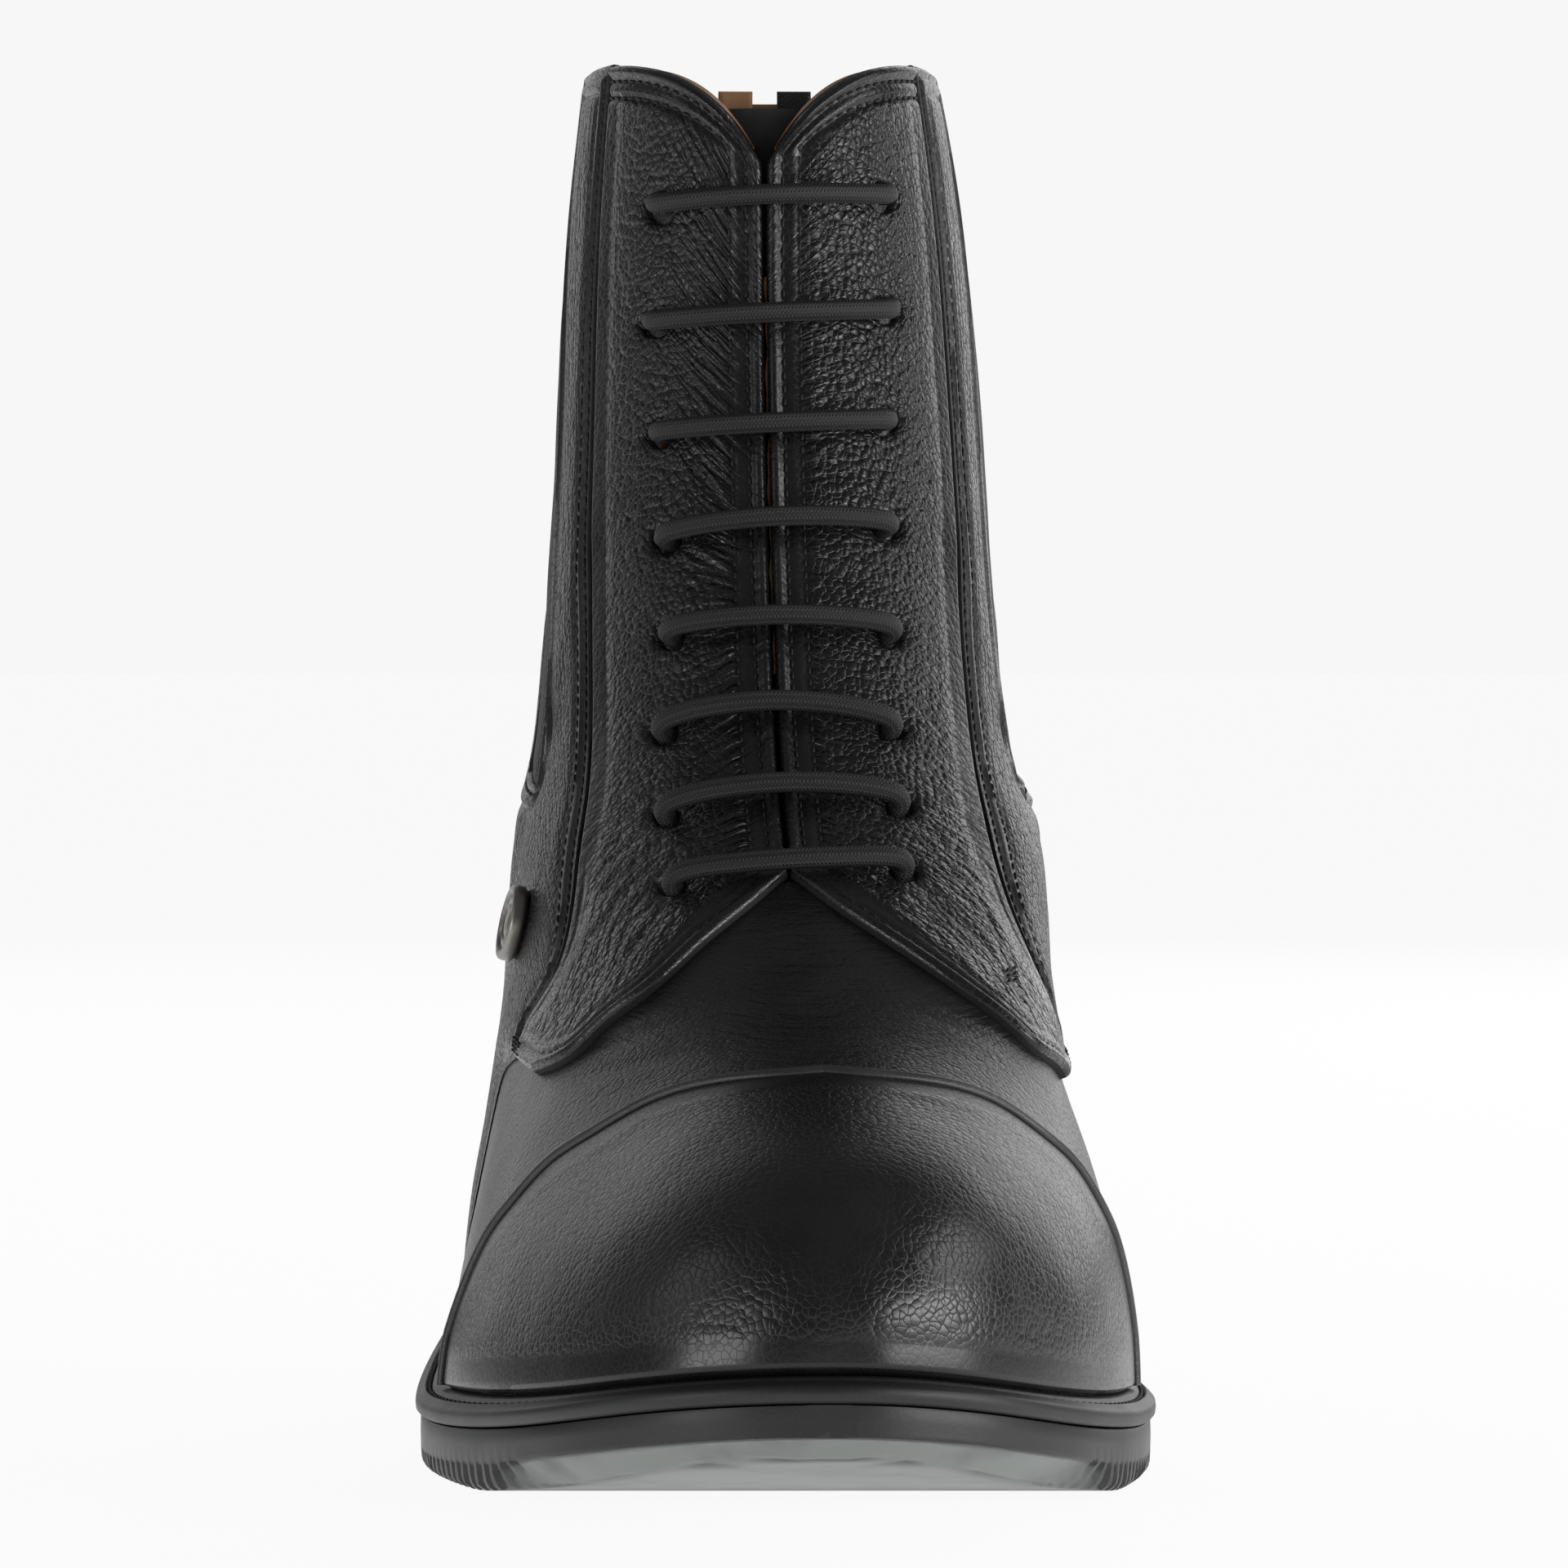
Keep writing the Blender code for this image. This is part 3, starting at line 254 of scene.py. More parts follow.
def through_points(xs, ys):
    """Natural cubic curve through points, as a function."""
    xs = np.asarray(xs, float)
    ys = np.asarray(ys, float)
    count = len(xs)
    steps = np.diff(xs)
    slopes = np.diff(ys) / steps
    matrix = np.eye(count)
    right = np.zeros(count)
    for i in range(1, count - 1):
        matrix[i, i - 1:i + 2] = steps[i - 1], 2 * (steps[i - 1] + steps[i]), steps[i]
        right[i] = 6 * (slopes[i] - slopes[i - 1])
    bends = np.linalg.solve(matrix, right)

    def value(at):
        at = np.asarray(at, float)
        i = np.clip(np.searchsorted(xs, at) - 1, 0, count - 2)
        along = at - xs[i]
        start = slopes[i] - steps[i] * (2 * bends[i] + bends[i + 1]) / 6
        cubic = (bends[i + 1] - bends[i]) / (6 * steps[i])
        return ys[i] + start * along + bends[i] / 2 * along ** 2 + cubic * along ** 3

    return value


def through(rows, x_name, y_name):
    """Smooth curve through two columns of a table, as a function."""
    return through_points([getattr(row, x_name) for row in rows], [getattr(row, y_name) for row in rows])


def ease(value, start, length):
    """Soft step from 0 to 1 over a length."""
    share = np.clip((np.asarray(value, float) - start) / length, 0, 1)
    return share * share * (3 - 2 * share)


def rounding(share, power):
    """Rounded end of an outline: 0 at the tip, 1 from the given length on."""
    share = np.clip(share, 0, 1)
    return (1 - (1 - share) ** power) ** (1 / power)


def bump(value, width):
    """Soft hump of height 1 round zero."""
    return np.exp(-(np.asarray(value, float) / width) ** 2)


def unit(vectors):
    """Vectors scaled to a length of 1."""
    return vectors / np.linalg.norm(vectors, axis=-1, keepdims=True)


def run_along(points):
    """Length run along a line of points, up to each of them."""
    return np.concatenate([[0], np.cumsum(np.linalg.norm(np.diff(points, axis=0), axis=1))])


foot_centre = through(FOOT_PLAN, "y", "centre")
foot_outer = through(FOOT_PLAN, "y", "outer")
foot_inner = through(FOOT_PLAN, "y", "inner")
sole_top = through(SOLE_PROFILE, "y", "top")
sole_overhang = through(SOLE_PROFILE, "y", "overhang")
cap_level = through(CAP_SEAM, "girth", "level")
gore_front = through(GORES, "level", "front")
gore_back = through(GORES, "level", "back")
side_seam = {side: through(SIDE_SEAM, "level", name) for side, name in SIDE_NAME.items()}
facing_edge = {side: through(FACING_EDGE, "level", name) for side, name in SIDE_NAME.items()}


def level_curves():
    """Each column of the ring table as a smooth function of the level."""
    curves = {}
    for column in Level._fields[1:]:
        values = [getattr(row, column) for row in LEVELS]
        if column in ("front_z", "back_z"):
            values[0] = float(sole_top(getattr(LEVELS[0], column[:-1] + "y")))
        curves[column] = through_points(range(len(LEVELS)), values)
    return curves


CURVES = level_curves()
CREST_LEVELS = np.linspace(0, TOP_LEVEL, 3000)
CREST_Y = np.maximum.accumulate(CURVES["front_y"](CREST_LEVELS))
CREST_Z = CURVES["front_z"](CREST_LEVELS)
LEVEL_STEP = 0.002
ANGLE_STEP = 0.015


def crest_height(y):
    """Height of the front line over a spot along the foot, running on steeply above the collar."""
    beyond = np.maximum(y - CREST_Y[-1], 0)
    return np.interp(y, CREST_Y, CREST_Z) + CREST_SLOPE * beyond


def boot_point(level, angle):
    """Outside of the upper. Angle 0 is the front line, pi the back line, negative the outer side."""
    level, angle = np.broadcast_arrays(np.asarray(level, float), np.asarray(angle, float))
    angle = (angle + math.pi) % (2 * math.pi) - math.pi
    ring = {column: curve(level) for column, curve in CURVES.items()}
    inner = angle > 0
    along = (1 - np.cos(angle)) / 2
    y = ring["front_y"] + along * (ring["back_y"] - ring["front_y"])
    sole = sole_top(y)
    sole_front = sole_top(ring["front_y"])
    sole_back = sole_top(ring["back_y"])
    bow = np.clip(ring["bow"], 0, 1) * (sole - sole_front - along * (sole_back - sole_front))
    z = ring["front_z"] + along * (ring["back_z"] - ring["front_z"]) + bow
    toe = rounding((y - TOE_Y) / TOE_ROUND, TOE_POWER)
    foot = np.where(inner, foot_inner(y), foot_outer(y)) * toe
    fore = np.where(inner, ring["inner"], ring["outer"])
    rear = np.where(inner, ring["inner_rear"], ring["outer_rear"])
    leg = fore + ease(y, REAR_START, REAR_LENGTH) * (rear - fore)
    share = np.clip(ring["foot"], 0, 1)
    height = np.clip((z - sole) / np.maximum(crest_height(y) - sole, GAP), 0, 1)
    power = np.where(inner, SECTION_POWER_INNER, SECTION_POWER_OUTER)
    dome = (1 - height ** power) ** (1 / SECTION_ROOT)
    oval = rounding((y - ring["front_y"]) / ring["front_round"], SECTION_ROOT)
    domed = np.clip(ring["section"], 0, 1)
    back = rounding((ring["back_y"] - y) / ring["back_round"], BACK_POWER)
    half = (share * foot + (1 - share) * leg) * (domed * dome + (1 - domed) * oval) * back
    x = foot_centre(y) + np.where(inner, half, -half)
    return np.stack([x, y, z], -1)


def boot_normal(level, angle):
    """Direction straight out of the upper."""
    level = np.asarray(level, float)
    angle = np.asarray(angle, float)
    around = boot_point(level, angle + ANGLE_STEP) - boot_point(level, angle - ANGLE_STEP)
    up = boot_point(level + LEVEL_STEP, angle) - boot_point(level - LEVEL_STEP, angle)
    return unit(np.cross(around, up))


# Girth round every level, kept as angles over even shares of each half ring
GIRTH_LEVELS = np.linspace(0, TOP_LEVEL + 0.5, 311)
RING_ANGLES = np.linspace(-math.pi, math.pi, 1201)
GIRTH_SHARES = np.linspace(-1, 1, 1201)


def girth_table():
    """Half girth on each side of every level, and the angle at even shares of it."""
    points = boot_point(GIRTH_LEVELS[:, None], RING_ANGLES[None, :])
    steps = np.linalg.norm(np.diff(points, axis=1), axis=2)
    girth = np.concatenate([np.zeros((len(GIRTH_LEVELS), 1)), np.cumsum(steps, axis=1)], axis=1)
    girth -= girth[:, [len(RING_ANGLES) // 2]]
    outer = -girth[:, 0]
    inner = girth[:, -1]
    angles = np.empty((len(GIRTH_LEVELS), len(GIRTH_SHARES)))
    for row, along in enumerate(girth):
        reach = np.where(GIRTH_SHARES < 0, outer[row], inner[row])
        angles[row] = np.interp(GIRTH_SHARES * reach, along, RING_ANGLES)
    return outer, inner, angles


HALF_OUTER, HALF_INNER, SHARE_ANGLES = girth_table()


def half_girth(level, side):
    """Girth from the front line to the back line on one side."""
    return np.interp(level, GIRTH_LEVELS, HALF_INNER if side == INNER else HALF_OUTER)


def angle_at(level, girth):
    """Angle of spots given by level and girth."""
    level, girth = np.broadcast_arrays(np.asarray(level, float), np.asarray(girth, float))
    reach = np.where(girth < 0, half_girth(level, OUTER), half_girth(level, INNER))
    share = np.clip(girth / reach, -1, 1)
    row = np.clip(level / GIRTH_LEVELS[1], 0, len(GIRTH_LEVELS) - 1.001)
    column = np.clip((share + 1) / 2 * (len(GIRTH_SHARES) - 1), 0, len(GIRTH_SHARES) - 1.001)
    i = row.astype(int)
    j = column.astype(int)
    down = row - i
    over = column - j
    low = SHARE_ANGLES[i, j] * (1 - over) + SHARE_ANGLES[i, j + 1] * over
    high = SHARE_ANGLES[i + 1, j] * (1 - over) + SHARE_ANGLES[i + 1, j + 1] * over
    return low * (1 - down) + high * down


def boot_spot(level, girth, rise=0.0):
    """Place of a spot on or off the upper."""
    angle = angle_at(level, girth)
    return boot_point(level, angle) + np.asarray(rise)[..., None] * boot_normal(level, angle)


def dipped(level, girth, peek=0.0):
    """Level lowered beside the front slit, where the collar dips to a V."""
    dip = (COLLAR_DIP - peek) * np.exp(-np.abs(girth) / COLLAR_DIP_GIRTH)
    return level - dip * ease(level, COLLAR_DIP_START, TOP_LEVEL - COLLAR_DIP_START)


def crowded(count, crowd, start=True, end=True):
    """Even steps from 0 to 1 that draw together at the ends."""
    turn = np.linspace(0, 1, count)
    if start and end:
        return turn - crowd * np.sin(2 * math.pi * turn) / (2 * math.pi)
    bent = turn - crowd * np.sin(math.pi * turn) / math.pi
    return bent if start else 1 - bent[::-1]


def metres(points):
    """Places on the boot as places in the shared frame."""
    return (np.asarray(points, float) + ORIGIN_SHIFT) * MM


def show(name, data):
    """New object in the scene."""
    made = bpy.data.objects.new(name, data)
    bpy.context.scene.collection.objects.link(made)
    return made


def make_piece(name, points, faces, materials, finish=None, uv=None, flow=None, calm=None, sharp=50.0):
    """Smooth mesh object from millimetre points. finish picks a material for each face."""
    used, faces = np.unique(np.asarray(faces), return_inverse=True)
    mesh = bpy.data.meshes.new(name)
    mesh.from_pydata(metres(np.asarray(points)[used]).tolist(), [], faces.reshape(-1, 4).tolist())
    for material in materials:
        mesh.materials.append(material)
    if finish is not None:
        mesh.polygons.foreach_set("material_index", np.asarray(finish, np.int32))
    if uv is not None:
        corners = np.empty(len(mesh.loops), np.int32)
        mesh.loops.foreach_get("vertex_index", corners)
        layer = mesh.uv_layers.new(name="surface")
        layer.data.foreach_set("uv", np.asarray(uv, np.float32)[used][corners].ravel())
    fields = (("flow", flow, "FLOAT_VECTOR", "vector"), ("calm", calm, "FLOAT", "value"))
    for key, values, kind, member in fields:
        if values is not None:
            field = mesh.attributes.new(key, kind, "POINT")
            field.data.foreach_set(member, np.asarray(values, np.float32)[used].ravel())
    mesh.shade_smooth()
    mesh.set_sharp_from_angle(angle=math.radians(sharp))
    return show(name, mesh)


def settle(piece, *nodes):
    """Put a finished piece on the boot in place of its solids."""
    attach(piece, "root")
    if nodes:
        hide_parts(*nodes)
    return piece


def slab_faces(rows, columns, keep, ring):
    """Faces of a closed slab over a grid: outside, inside and walls."""
    spans = columns if ring else columns - 1
    r, c = np.nonzero(keep)
    after = (c + 1) % columns
    below = r * columns
    above = below + columns
    outside = np.stack([below + c, below + after, above + after, above + c], 1)
    shift = rows * columns
    walls = []
    for down, over, start, end in ((-1, 0, 0, 1), (0, 1, 1, 2), (1, 0, 2, 3), (0, -1, 3, 0)):
        row = r + down
        column = (c + over) % spans if ring else c + over
        inside = (row >= 0) & (row < rows - 1) & (column >= 0) & (column < spans)
        joined = np.zeros(len(r), bool)
        joined[inside] = keep[row[inside], column[inside]]
        first = outside[~joined, start]
        last = outside[~joined, end]
        walls.append(np.stack([last, first, first + shift, last + shift], 1))
    return outside, outside[:, ::-1] + shift, np.concatenate(walls)


def make_slab(name, base, out, high, low, keep, materials, finish=(0, 0, 0), ring=False, **marks):
    """Piece between two heights over a grid on the upper. finish picks a material for the outside, the
    inside and the walls, and each mark is a value that every grid spot carries."""
    rows, columns = base.shape[:2]
    parts = slab_faces(rows, columns, keep, ring)
    points = [(base + np.asarray(height)[..., None] * out).reshape(-1, 3) for height in (high, low)]
    carried = {key: np.concatenate([value.reshape(rows * columns, -1)] * 2) for key, value in marks.items()}
    return make_piece(
        name, np.concatenate(points), np.concatenate(parts), materials,
        np.repeat(finish, [len(part) for part in parts]), **carried,
    )


def whole(level):
    """Cells of a grid without any opening."""
    return np.ones((level.shape[0] - 1, level.shape[1] - 1), bool)


def side_grid(levels, start, end, share, side):
    """Levels and girths of a grid between two girths on one side, its columns running towards +X in front."""
    girth = side * (start[:, None] + share * (end - start)[:, None])
    return np.repeat(levels[:, None], len(share), axis=1), girth[:, ::side]


def nearest_tree(points):
    """Search tree for the nearest of some points."""
    tree = kdtree.KDTree(len(points))
    for i, spot in enumerate(points.tolist()):
        tree.insert(spot, i)
    tree.balance()
    return tree


def rim_distance(points, keep):
    """Distance of each grid spot from the nearest edge of its panel."""
    rows, columns = points.shape[:2]
    cells = np.zeros((rows + 1, columns + 1), bool)
    cells[1:-1, 1:-1] = keep
    corners = np.stack([cells[:-1, :-1], cells[:-1, 1:], cells[1:, :-1], cells[1:, 1:]])
    tree = nearest_tree(points[corners.any(0) & ~corners.all(0)])
    return np.array([tree.find(spot)[2] for spot in points.reshape(-1, 3).tolist()]).reshape(rows, columns)


def way_distance(points, way):
    """Distance of points from a way of line pieces, and their share along it."""
    best = np.full(len(points), np.inf)
    share = np.zeros(len(points))
    for i, (start, end) in enumerate(zip(way[:-1], way[1:])):
        run = end - start
        along = np.clip((points - start) @ run / (run @ run), 0, 1)
        away = np.linalg.norm(points - start - along[:, None] * run, axis=1)
        closer = away < best
        best[closer] = away[closer]
        share[closer] = (i + along[closer]) / (len(way) - 1)
    return best, share


CREASE_DEPTH = 0.6
CREASE_WIDTH = 0.62
CREASE_RIDGE = 0.6
CREASE_STEPS = 9
CREASE_REACH = 9.0


def crease_relief(points, creases):
    """Soft troughs with a low ridge on both sides."""
    flat = points.reshape(-1, 3)
    relief = np.zeros(len(flat))
    for crease in creases:
        level, girth = np.array(crease.way).T
        knots = np.arange(len(level))
        steps = np.linspace(0, len(level) - 1, CREASE_STEPS)
        way = boot_spot(np.interp(steps, knots, level), np.interp(steps, knots, girth))
        near = np.all((flat > way.min(0) - CREASE_REACH) & (flat < way.max(0) + CREASE_REACH), axis=1)
        away, share = way_distance(flat[near], way)
        fade = np.sin(math.pi * np.clip(share, 0.02, 0.98)) ** 0.6
        width = CREASE_WIDTH * crease.width
        shape = CREASE_RIDGE * bump(away - 2.0 * width, width) - bump(away, width)
        relief[near] += CREASE_DEPTH * crease.depth * fade * shape
    return relief.reshape(points.shape[:2])


def unevenness(points, size, amount):
    """Soft rise and fall of hand-lasted leather."""
    flat = (points.reshape(-1, 3) / size).tolist()
    return amount * np.array([noise.noise(spot) for spot in map(Vector, flat)]).reshape(points.shape[:2])


def rolled(distance, roll):
    """How far a rolled edge drops at a distance from it."""
    share = np.clip(distance / roll, 0, 1)
    return roll * (1 - np.sqrt(1 - (1 - share) ** 2))


STITCH_SINK = 0.42
STITCH_SINK_WIDTH = 0.7
PANEL_SEAT = -0.1
PANEL_TOP = PANEL_GAP + SKIN
EDGE_ROLL = 0.8
LEAST_RISE = 0.25
CALM_EDGE = 4.0
CALM_FADE = 2.0
PANEL_SWELL_SIZE = 14.0
PANEL_SWELL = 0.2
PANEL_CREASE = 0.5


def leather_panel(name, level, angle, leather, creases, relief=None, keep=None, holed=False, **marks):
    """Panel with rolled edges, creases, and a relief of its own on top."""
    keep = whole(level) if keep is None else keep
    base = boot_point(level, angle)
    out = boot_normal(level, angle)
    distance = rim_distance(base, keep)
    sewn = rim_distance(base, whole(level)) if holed else distance
    pressed = unevenness(base, PANEL_SWELL_SIZE, PANEL_SWELL) + PANEL_CREASE * crease_relief(base, creases)
    height = PANEL_TOP - rolled(distance, EDGE_ROLL) + ease(sewn, CALM_EDGE, CALM_EDGE) * pressed
    if relief is not None:
        height += relief(base, distance)
    return make_slab(
        name, base, out, np.maximum(height, LEAST_RISE), PANEL_SEAT, keep,
        [finish_named(leather), finish_named("cut_edge")], (0, 0, 1),
        calm=1 - ease(sewn, CALM_EDGE, CALM_FADE), **marks,
    )


def fill(tree, node, inputs):
    """Values or links on the sockets of a node."""
    for key, value in inputs.items():
        if isinstance(value, bpy.types.NodeSocket):
            tree.links.new(value, node.inputs[key])
        else:
            node.inputs[key].default_value = value
    return node


def add_node(tree, kind, inputs=None, **settings):
    """Node with its settings, and with values or links on its sockets."""
    made = tree.nodes.new(kind)
    for key, value in settings.items():
        setattr(made, key, value)
    return fill(tree, made, inputs or {})


def start_material(name):
    """Empty surface with its shader and its place on the boot."""
    material = bpy.data.materials.new(name)
    material.use_nodes = True
    tree = material.node_tree
    place = add_node(tree, "ShaderNodeTexCoord").outputs["Object"]
    return material, tree, tree.nodes["Principled BSDF"], place


def math_node(tree, operation, first, second=0.0, clamp=False):
    """Result of one sum on two values."""
    inputs = {0: first, 1: second}
    return add_node(tree, "ShaderNodeMath", inputs, operation=operation, use_clamp=clamp).outputs[0]


def times(tree, first, second):
    """Product of two values."""
    return math_node(tree, "MULTIPLY", first, second)


def less(tree, value):
    """1 less a value."""
    return math_node(tree, "SUBTRACT", 1.0, value)


def weigh(tree, *terms, start=0.0):
    """Sum of values, each times its weight."""
    total = start
    for value, weight in terms:
        total = math_node(tree, "ADD", times(tree, value, weight), total)
    return total


def spread(tree, value, low, high):
    """Value stretched softly from a range to 0 and 1."""
    inputs = {"Value": value, "From Min": low, "From Max": high}
    return add_node(tree, "ShaderNodeMapRange", inputs, interpolation_type="SMOOTHSTEP").outputs[0]


def cloudy(tree, place, scale, detail, output="Fac", **more):
    """Soft noise over a place."""
    inputs = {"Vector": place, "Scale": scale, "Detail": detail, **more}
    return add_node(tree, "ShaderNodeTexNoise", inputs).outputs[output]


def carried(tree, name, output):
    """Value that the spots of a piece carry under a name."""
    return add_node(tree, "ShaderNodeAttribute", attribute_name=name).outputs[output]


def split(tree, vector):
    """The three parts of a vector."""
    return add_node(tree, "ShaderNodeSeparateXYZ", {0: vector}).outputs


def blend_colours(tree, share, first, second):
    """Colour between two colours, each a value or a link."""
    ends = [c if isinstance(c, bpy.types.NodeSocket) else (*c, 1.0) for c in (first, second)]
    inputs = {"Factor": share, 6: ends[0], 7: ends[1]}
    return add_node(tree, "ShaderNodeMix", inputs, data_type="RGBA").outputs[2]


def dress(tree, shader, colour, roughness, height, depth, strength):
    """Colour and roughness of a surface, and its fine relief with a depth in millimetres."""
    inputs = {"Strength": strength, "Distance": depth * MM, "Height": height}
    relief = add_node(tree, "ShaderNodeBump", inputs).outputs[0]
    fill(tree, shader, {"Base Color": colour, "Roughness": roughness, "Normal": relief})


CRACK_WIDTH = 0.14
CELL_WANDER = 0.9
FINE_CELL = 0.45
SWELL_RATE = 0.3
DRAWN_RATE = (0.16, 0.85, 0.0)
CALMED = 0.85
CLOUD_GLOSS = 0.14
# Leather grain in millimetres: pebble size, and heights of domes, cracks, drawn creases and slow swells
Grain = namedtuple("Grain", "roughness cell dome crack drawn swell")


def grain_cells(tree, place, size):
    """Pebbles of tumbled leather: round domes, and flat tops split by thin cracks, both from 0 to 1."""
    wander = cloudy(tree, place, 0.5 / (size * MM), 1.0, "Color")
    inputs = {0: wander, 1: (CELL_WANDER * size * MM,) * 3, 2: place}
    moved = add_node(tree, "ShaderNodeVectorMath", inputs, operation="MULTIPLY_ADD").outputs[0]
    inputs = {"Vector": moved, "Scale": 1 / (size * MM)}
    middle = add_node(tree, "ShaderNodeTexVoronoi", inputs, feature="F1").outputs["Distance"]
    edge = add_node(tree, "ShaderNodeTexVoronoi", inputs, feature="DISTANCE_TO_EDGE").outputs["Distance"]
    rest = less(tree, math_node(tree, "DIVIDE", edge, CRACK_WIDTH, clamp=True))
    return less(tree, times(tree, middle, middle)), less(tree, times(tree, rest, rest))


def leather_material(name, colour, grain):
    """Black leather with pebbles, fine cracks, and drawn-out creases where the piece has a flow."""
    material, tree, shader, place = start_material(name)
    domes, cracks = grain_cells(tree, place, grain.cell)
    fine = grain_cells(tree, place, FINE_CELL * grain.cell)[1]
    swell = cloudy(tree, place, SWELL_RATE / (grain.cell * MM), 1.0)
    flow = carried(tree, "flow", "Vector")
    way = add_node(tree, "ShaderNodeVectorMath", {0: flow, 1: DRAWN_RATE}, operation="MULTIPLY").outputs[0]
    drawn = spread(tree, cloudy(tree, way, 1.0, 2.0, Distortion=0.3), 0.34, 0.62)
    pebbled = weigh(
        tree, (domes, grain.dome), (cracks, grain.crack), (fine, 0.2 * grain.crack), (swell, grain.swell),
    )
    creased = weigh(tree, (drawn, grain.drawn), (domes, 0.15 * grain.dome), (cracks, 0.4 * grain.crack))
    inputs = {0: split(tree, flow)[2], 2: pebbled, 3: creased}
    mixed = add_node(tree, "ShaderNodeMix", inputs, data_type="FLOAT").outputs[0]
    height = times(tree, mixed, less(tree, times(tree, carried(tree, "calm", "Fac"), CALMED)))
    cloud = cloudy(tree, place, 90.0, 4.0)
    wear_and_reflection = tuple(min(1.0, 1.6 * c + 0.002) for c in colour)
    tint = blend_colours(tree, spread(tree, cloud, 0.35, 0.75), colour, wear_and_reflection)
    mean = grain.roughness - CLOUD_GLOSS / 2
    gloss = weigh(tree, (cloud, CLOUD_GLOSS), (less(tree, cracks), 6 * grain.crack), start=mean)
    dress(tree, shader, tint, gloss, height, 1.0, 1.0)
    return material


def soft_material(name, colour, pale, size, depth, roughness, sheen=0.0, wear_and_reflection=None):
    """Matt surface with a fine nap or grit. Where the piece marks it in its flow, a paler colour is painted
    on as a reflection of the pale floor.
    """
    material, tree, shader, place = start_material(name)
    nap = cloudy(tree, place, 1 / (size * MM), 5.0, Roughness=0.65)
    cloud = cloudy(tree, place, 70.0, 4.0)
    tint = blend_colours(tree, spread(tree, times(tree, nap, cloud), 0.12, 0.5), colour, pale)
    if wear_and_reflection is not None:
        # Painted reflection: the pale floor's reflection is laid on as colour where the flow marks it,
        # mottled by the cloud.
        reflection_share = split(tree, carried(tree, "flow", "Vector"))[2]
        tint = blend_colours(tree, times(tree, reflection_share, spread(tree, cloud, 0.1, 0.55)), tint, wear_and_reflection)
    dress(tree, shader, tint, weigh(tree, (cloud, 0.2), start=roughness - 0.1), nap, depth, 0.6)
    shader.inputs["Sheen Weight"].default_value = sheen
    return material


def woven_material(name, colour, pale, along, across, slant, depth):
    """Cord or elastic: crossing rows of threads that follow the piece's own surface, with a painted highlight
    on the raised threads and painted shade in the hollows between them.
    """
    material, tree, shader, place = start_material(name)
    parts = split(tree, add_node(tree, "ShaderNodeUVMap", uv_map="surface").outputs[0])
    u = times(tree, parts[0], 2 * math.pi * along)
    v = times(tree, parts[1], 2 * math.pi * across)
    lean = times(tree, v, slant)
    first = math_node(tree, "SINE", math_node(tree, "ADD", u, lean))
    second = math_node(tree, "SINE", math_node(tree, "SUBTRACT", u, lean))
    threads = times(tree, math_node(tree, "MAXIMUM", first, second), math_node(tree, "COSINE", v))
    share = spread(tree, threads, -0.7, 0.9)
    height = weigh(tree, (cloudy(tree, place, 2500.0, 2.0), 0.4), start=share)
    # Painted highlight and shade: the raised threads take the pale colour, the hollows between them the dark
    # one.
    dress(tree, shader, blend_colours(tree, share, colour, pale), 0.62, height, depth, 0.8)
    return material


def metal_material(name, colour):
    """Antique silver, dark in the hollows that the piece marks in its flow."""
    material, tree, shader, place = start_material(name)
    scratch = cloudy(tree, place, 900.0, 6.0)
    age = split(tree, carried(tree, "flow", "Vector"))[2]
    tint = blend_colours(tree, times(tree, age, spread(tree, scratch, 0.2, 0.7)), colour, mix(colour, 0.16))
    dress(tree, shader, tint, weigh(tree, (scratch, 0.3), start=0.22), scratch, 0.08, 0.4)
    shader.inputs["Metallic"].default_value = 1.0
    return material


def finish_named(name):
    """Surface made earlier under a name."""
    return bpy.data.materials[name]


def mix(colour, share):
    """Colour scaled towards light or dark."""
    return tuple(min(1.0, share * c) for c in colour)


def make_finishes(colours):
    """Every surface of the boot."""
    black = tuple(colours.leather)
    tan = tuple(colours.lining)
    rubber = tuple(colours.rubber)
    leather_material("facing_leather", black, Grain(0.22, 1.15, 0.42, 0.06, 0.60, 0.30))
    leather_material("quarter_leather", black, Grain(0.30, 1.1, 0.36, 0.06, 0.30, 0.15))
    leather_material("vamp_leather", black, Grain(0.29, 0.85, 0.10, 0.02, 0.12, 0.06))
    leather_material("cap_leather", black, Grain(0.25, 1.1, 0.055, 0.02, 0.03, 0.04))
    # The bead's leather is made lighter than the other black leather: a painted highlight along the lit top
    # of the rolled bead.
    leather_material("bead_leather", mix(black, 5.0), Grain(0.33, 0.9, 0.03, 0.01, 0.03, 0.03))
    soft_material("cut_edge", mix(black, 0.8), mix(black, 2.2), 0.35, 0.12, 0.75)
    soft_material("lining", mix(tan, 0.8), tan, 0.5, 0.1, 0.65)
    soft_material("suede", mix(black, 0.7), mix(black, 2.6), 0.28, 0.2, 0.92, sheen=0.25)
    # The pale second colour here is a painted reflection of the floor on the sole's toe bevel.
    soft_material("sole_rubber", mix(rubber, 0.7), mix(rubber, 1.25), 0.6, 0.05, 0.42, wear_and_reflection=mix(rubber, 11.0))
    soft_material("welt_rubber", mix(rubber, 0.6), mix(rubber, 1.1), 0.5, 0.07, 0.45)
    soft_material("thread", mix(black, 0.8), mix(black, 2.0), 0.12, 0.05, 0.6)
    woven_material("lace_cord", mix(black, 0.4), mix(black, 4.5), 1.33, 0.25, 2.0, 0.18)
    woven_material("elastic", mix(black, 0.25), mix(black, 0.8), 1.0, 1.0, 0.25, 0.22)
    woven_material("webbing", mix(black, 0.6), mix(black, 2.0), 1.0, 1.0, 0.5, 0.2)
    metal_material("antique_silver", tuple(colours.metal))


SHELL_ROWS = 170
SHELL_COLUMNS = 116
SHELL_CROWD = 0.45
SHELL_SWELL_SIZE = 18.0
SHELL_SWELL = 0.12
VAMP_DRAWN = 0.55


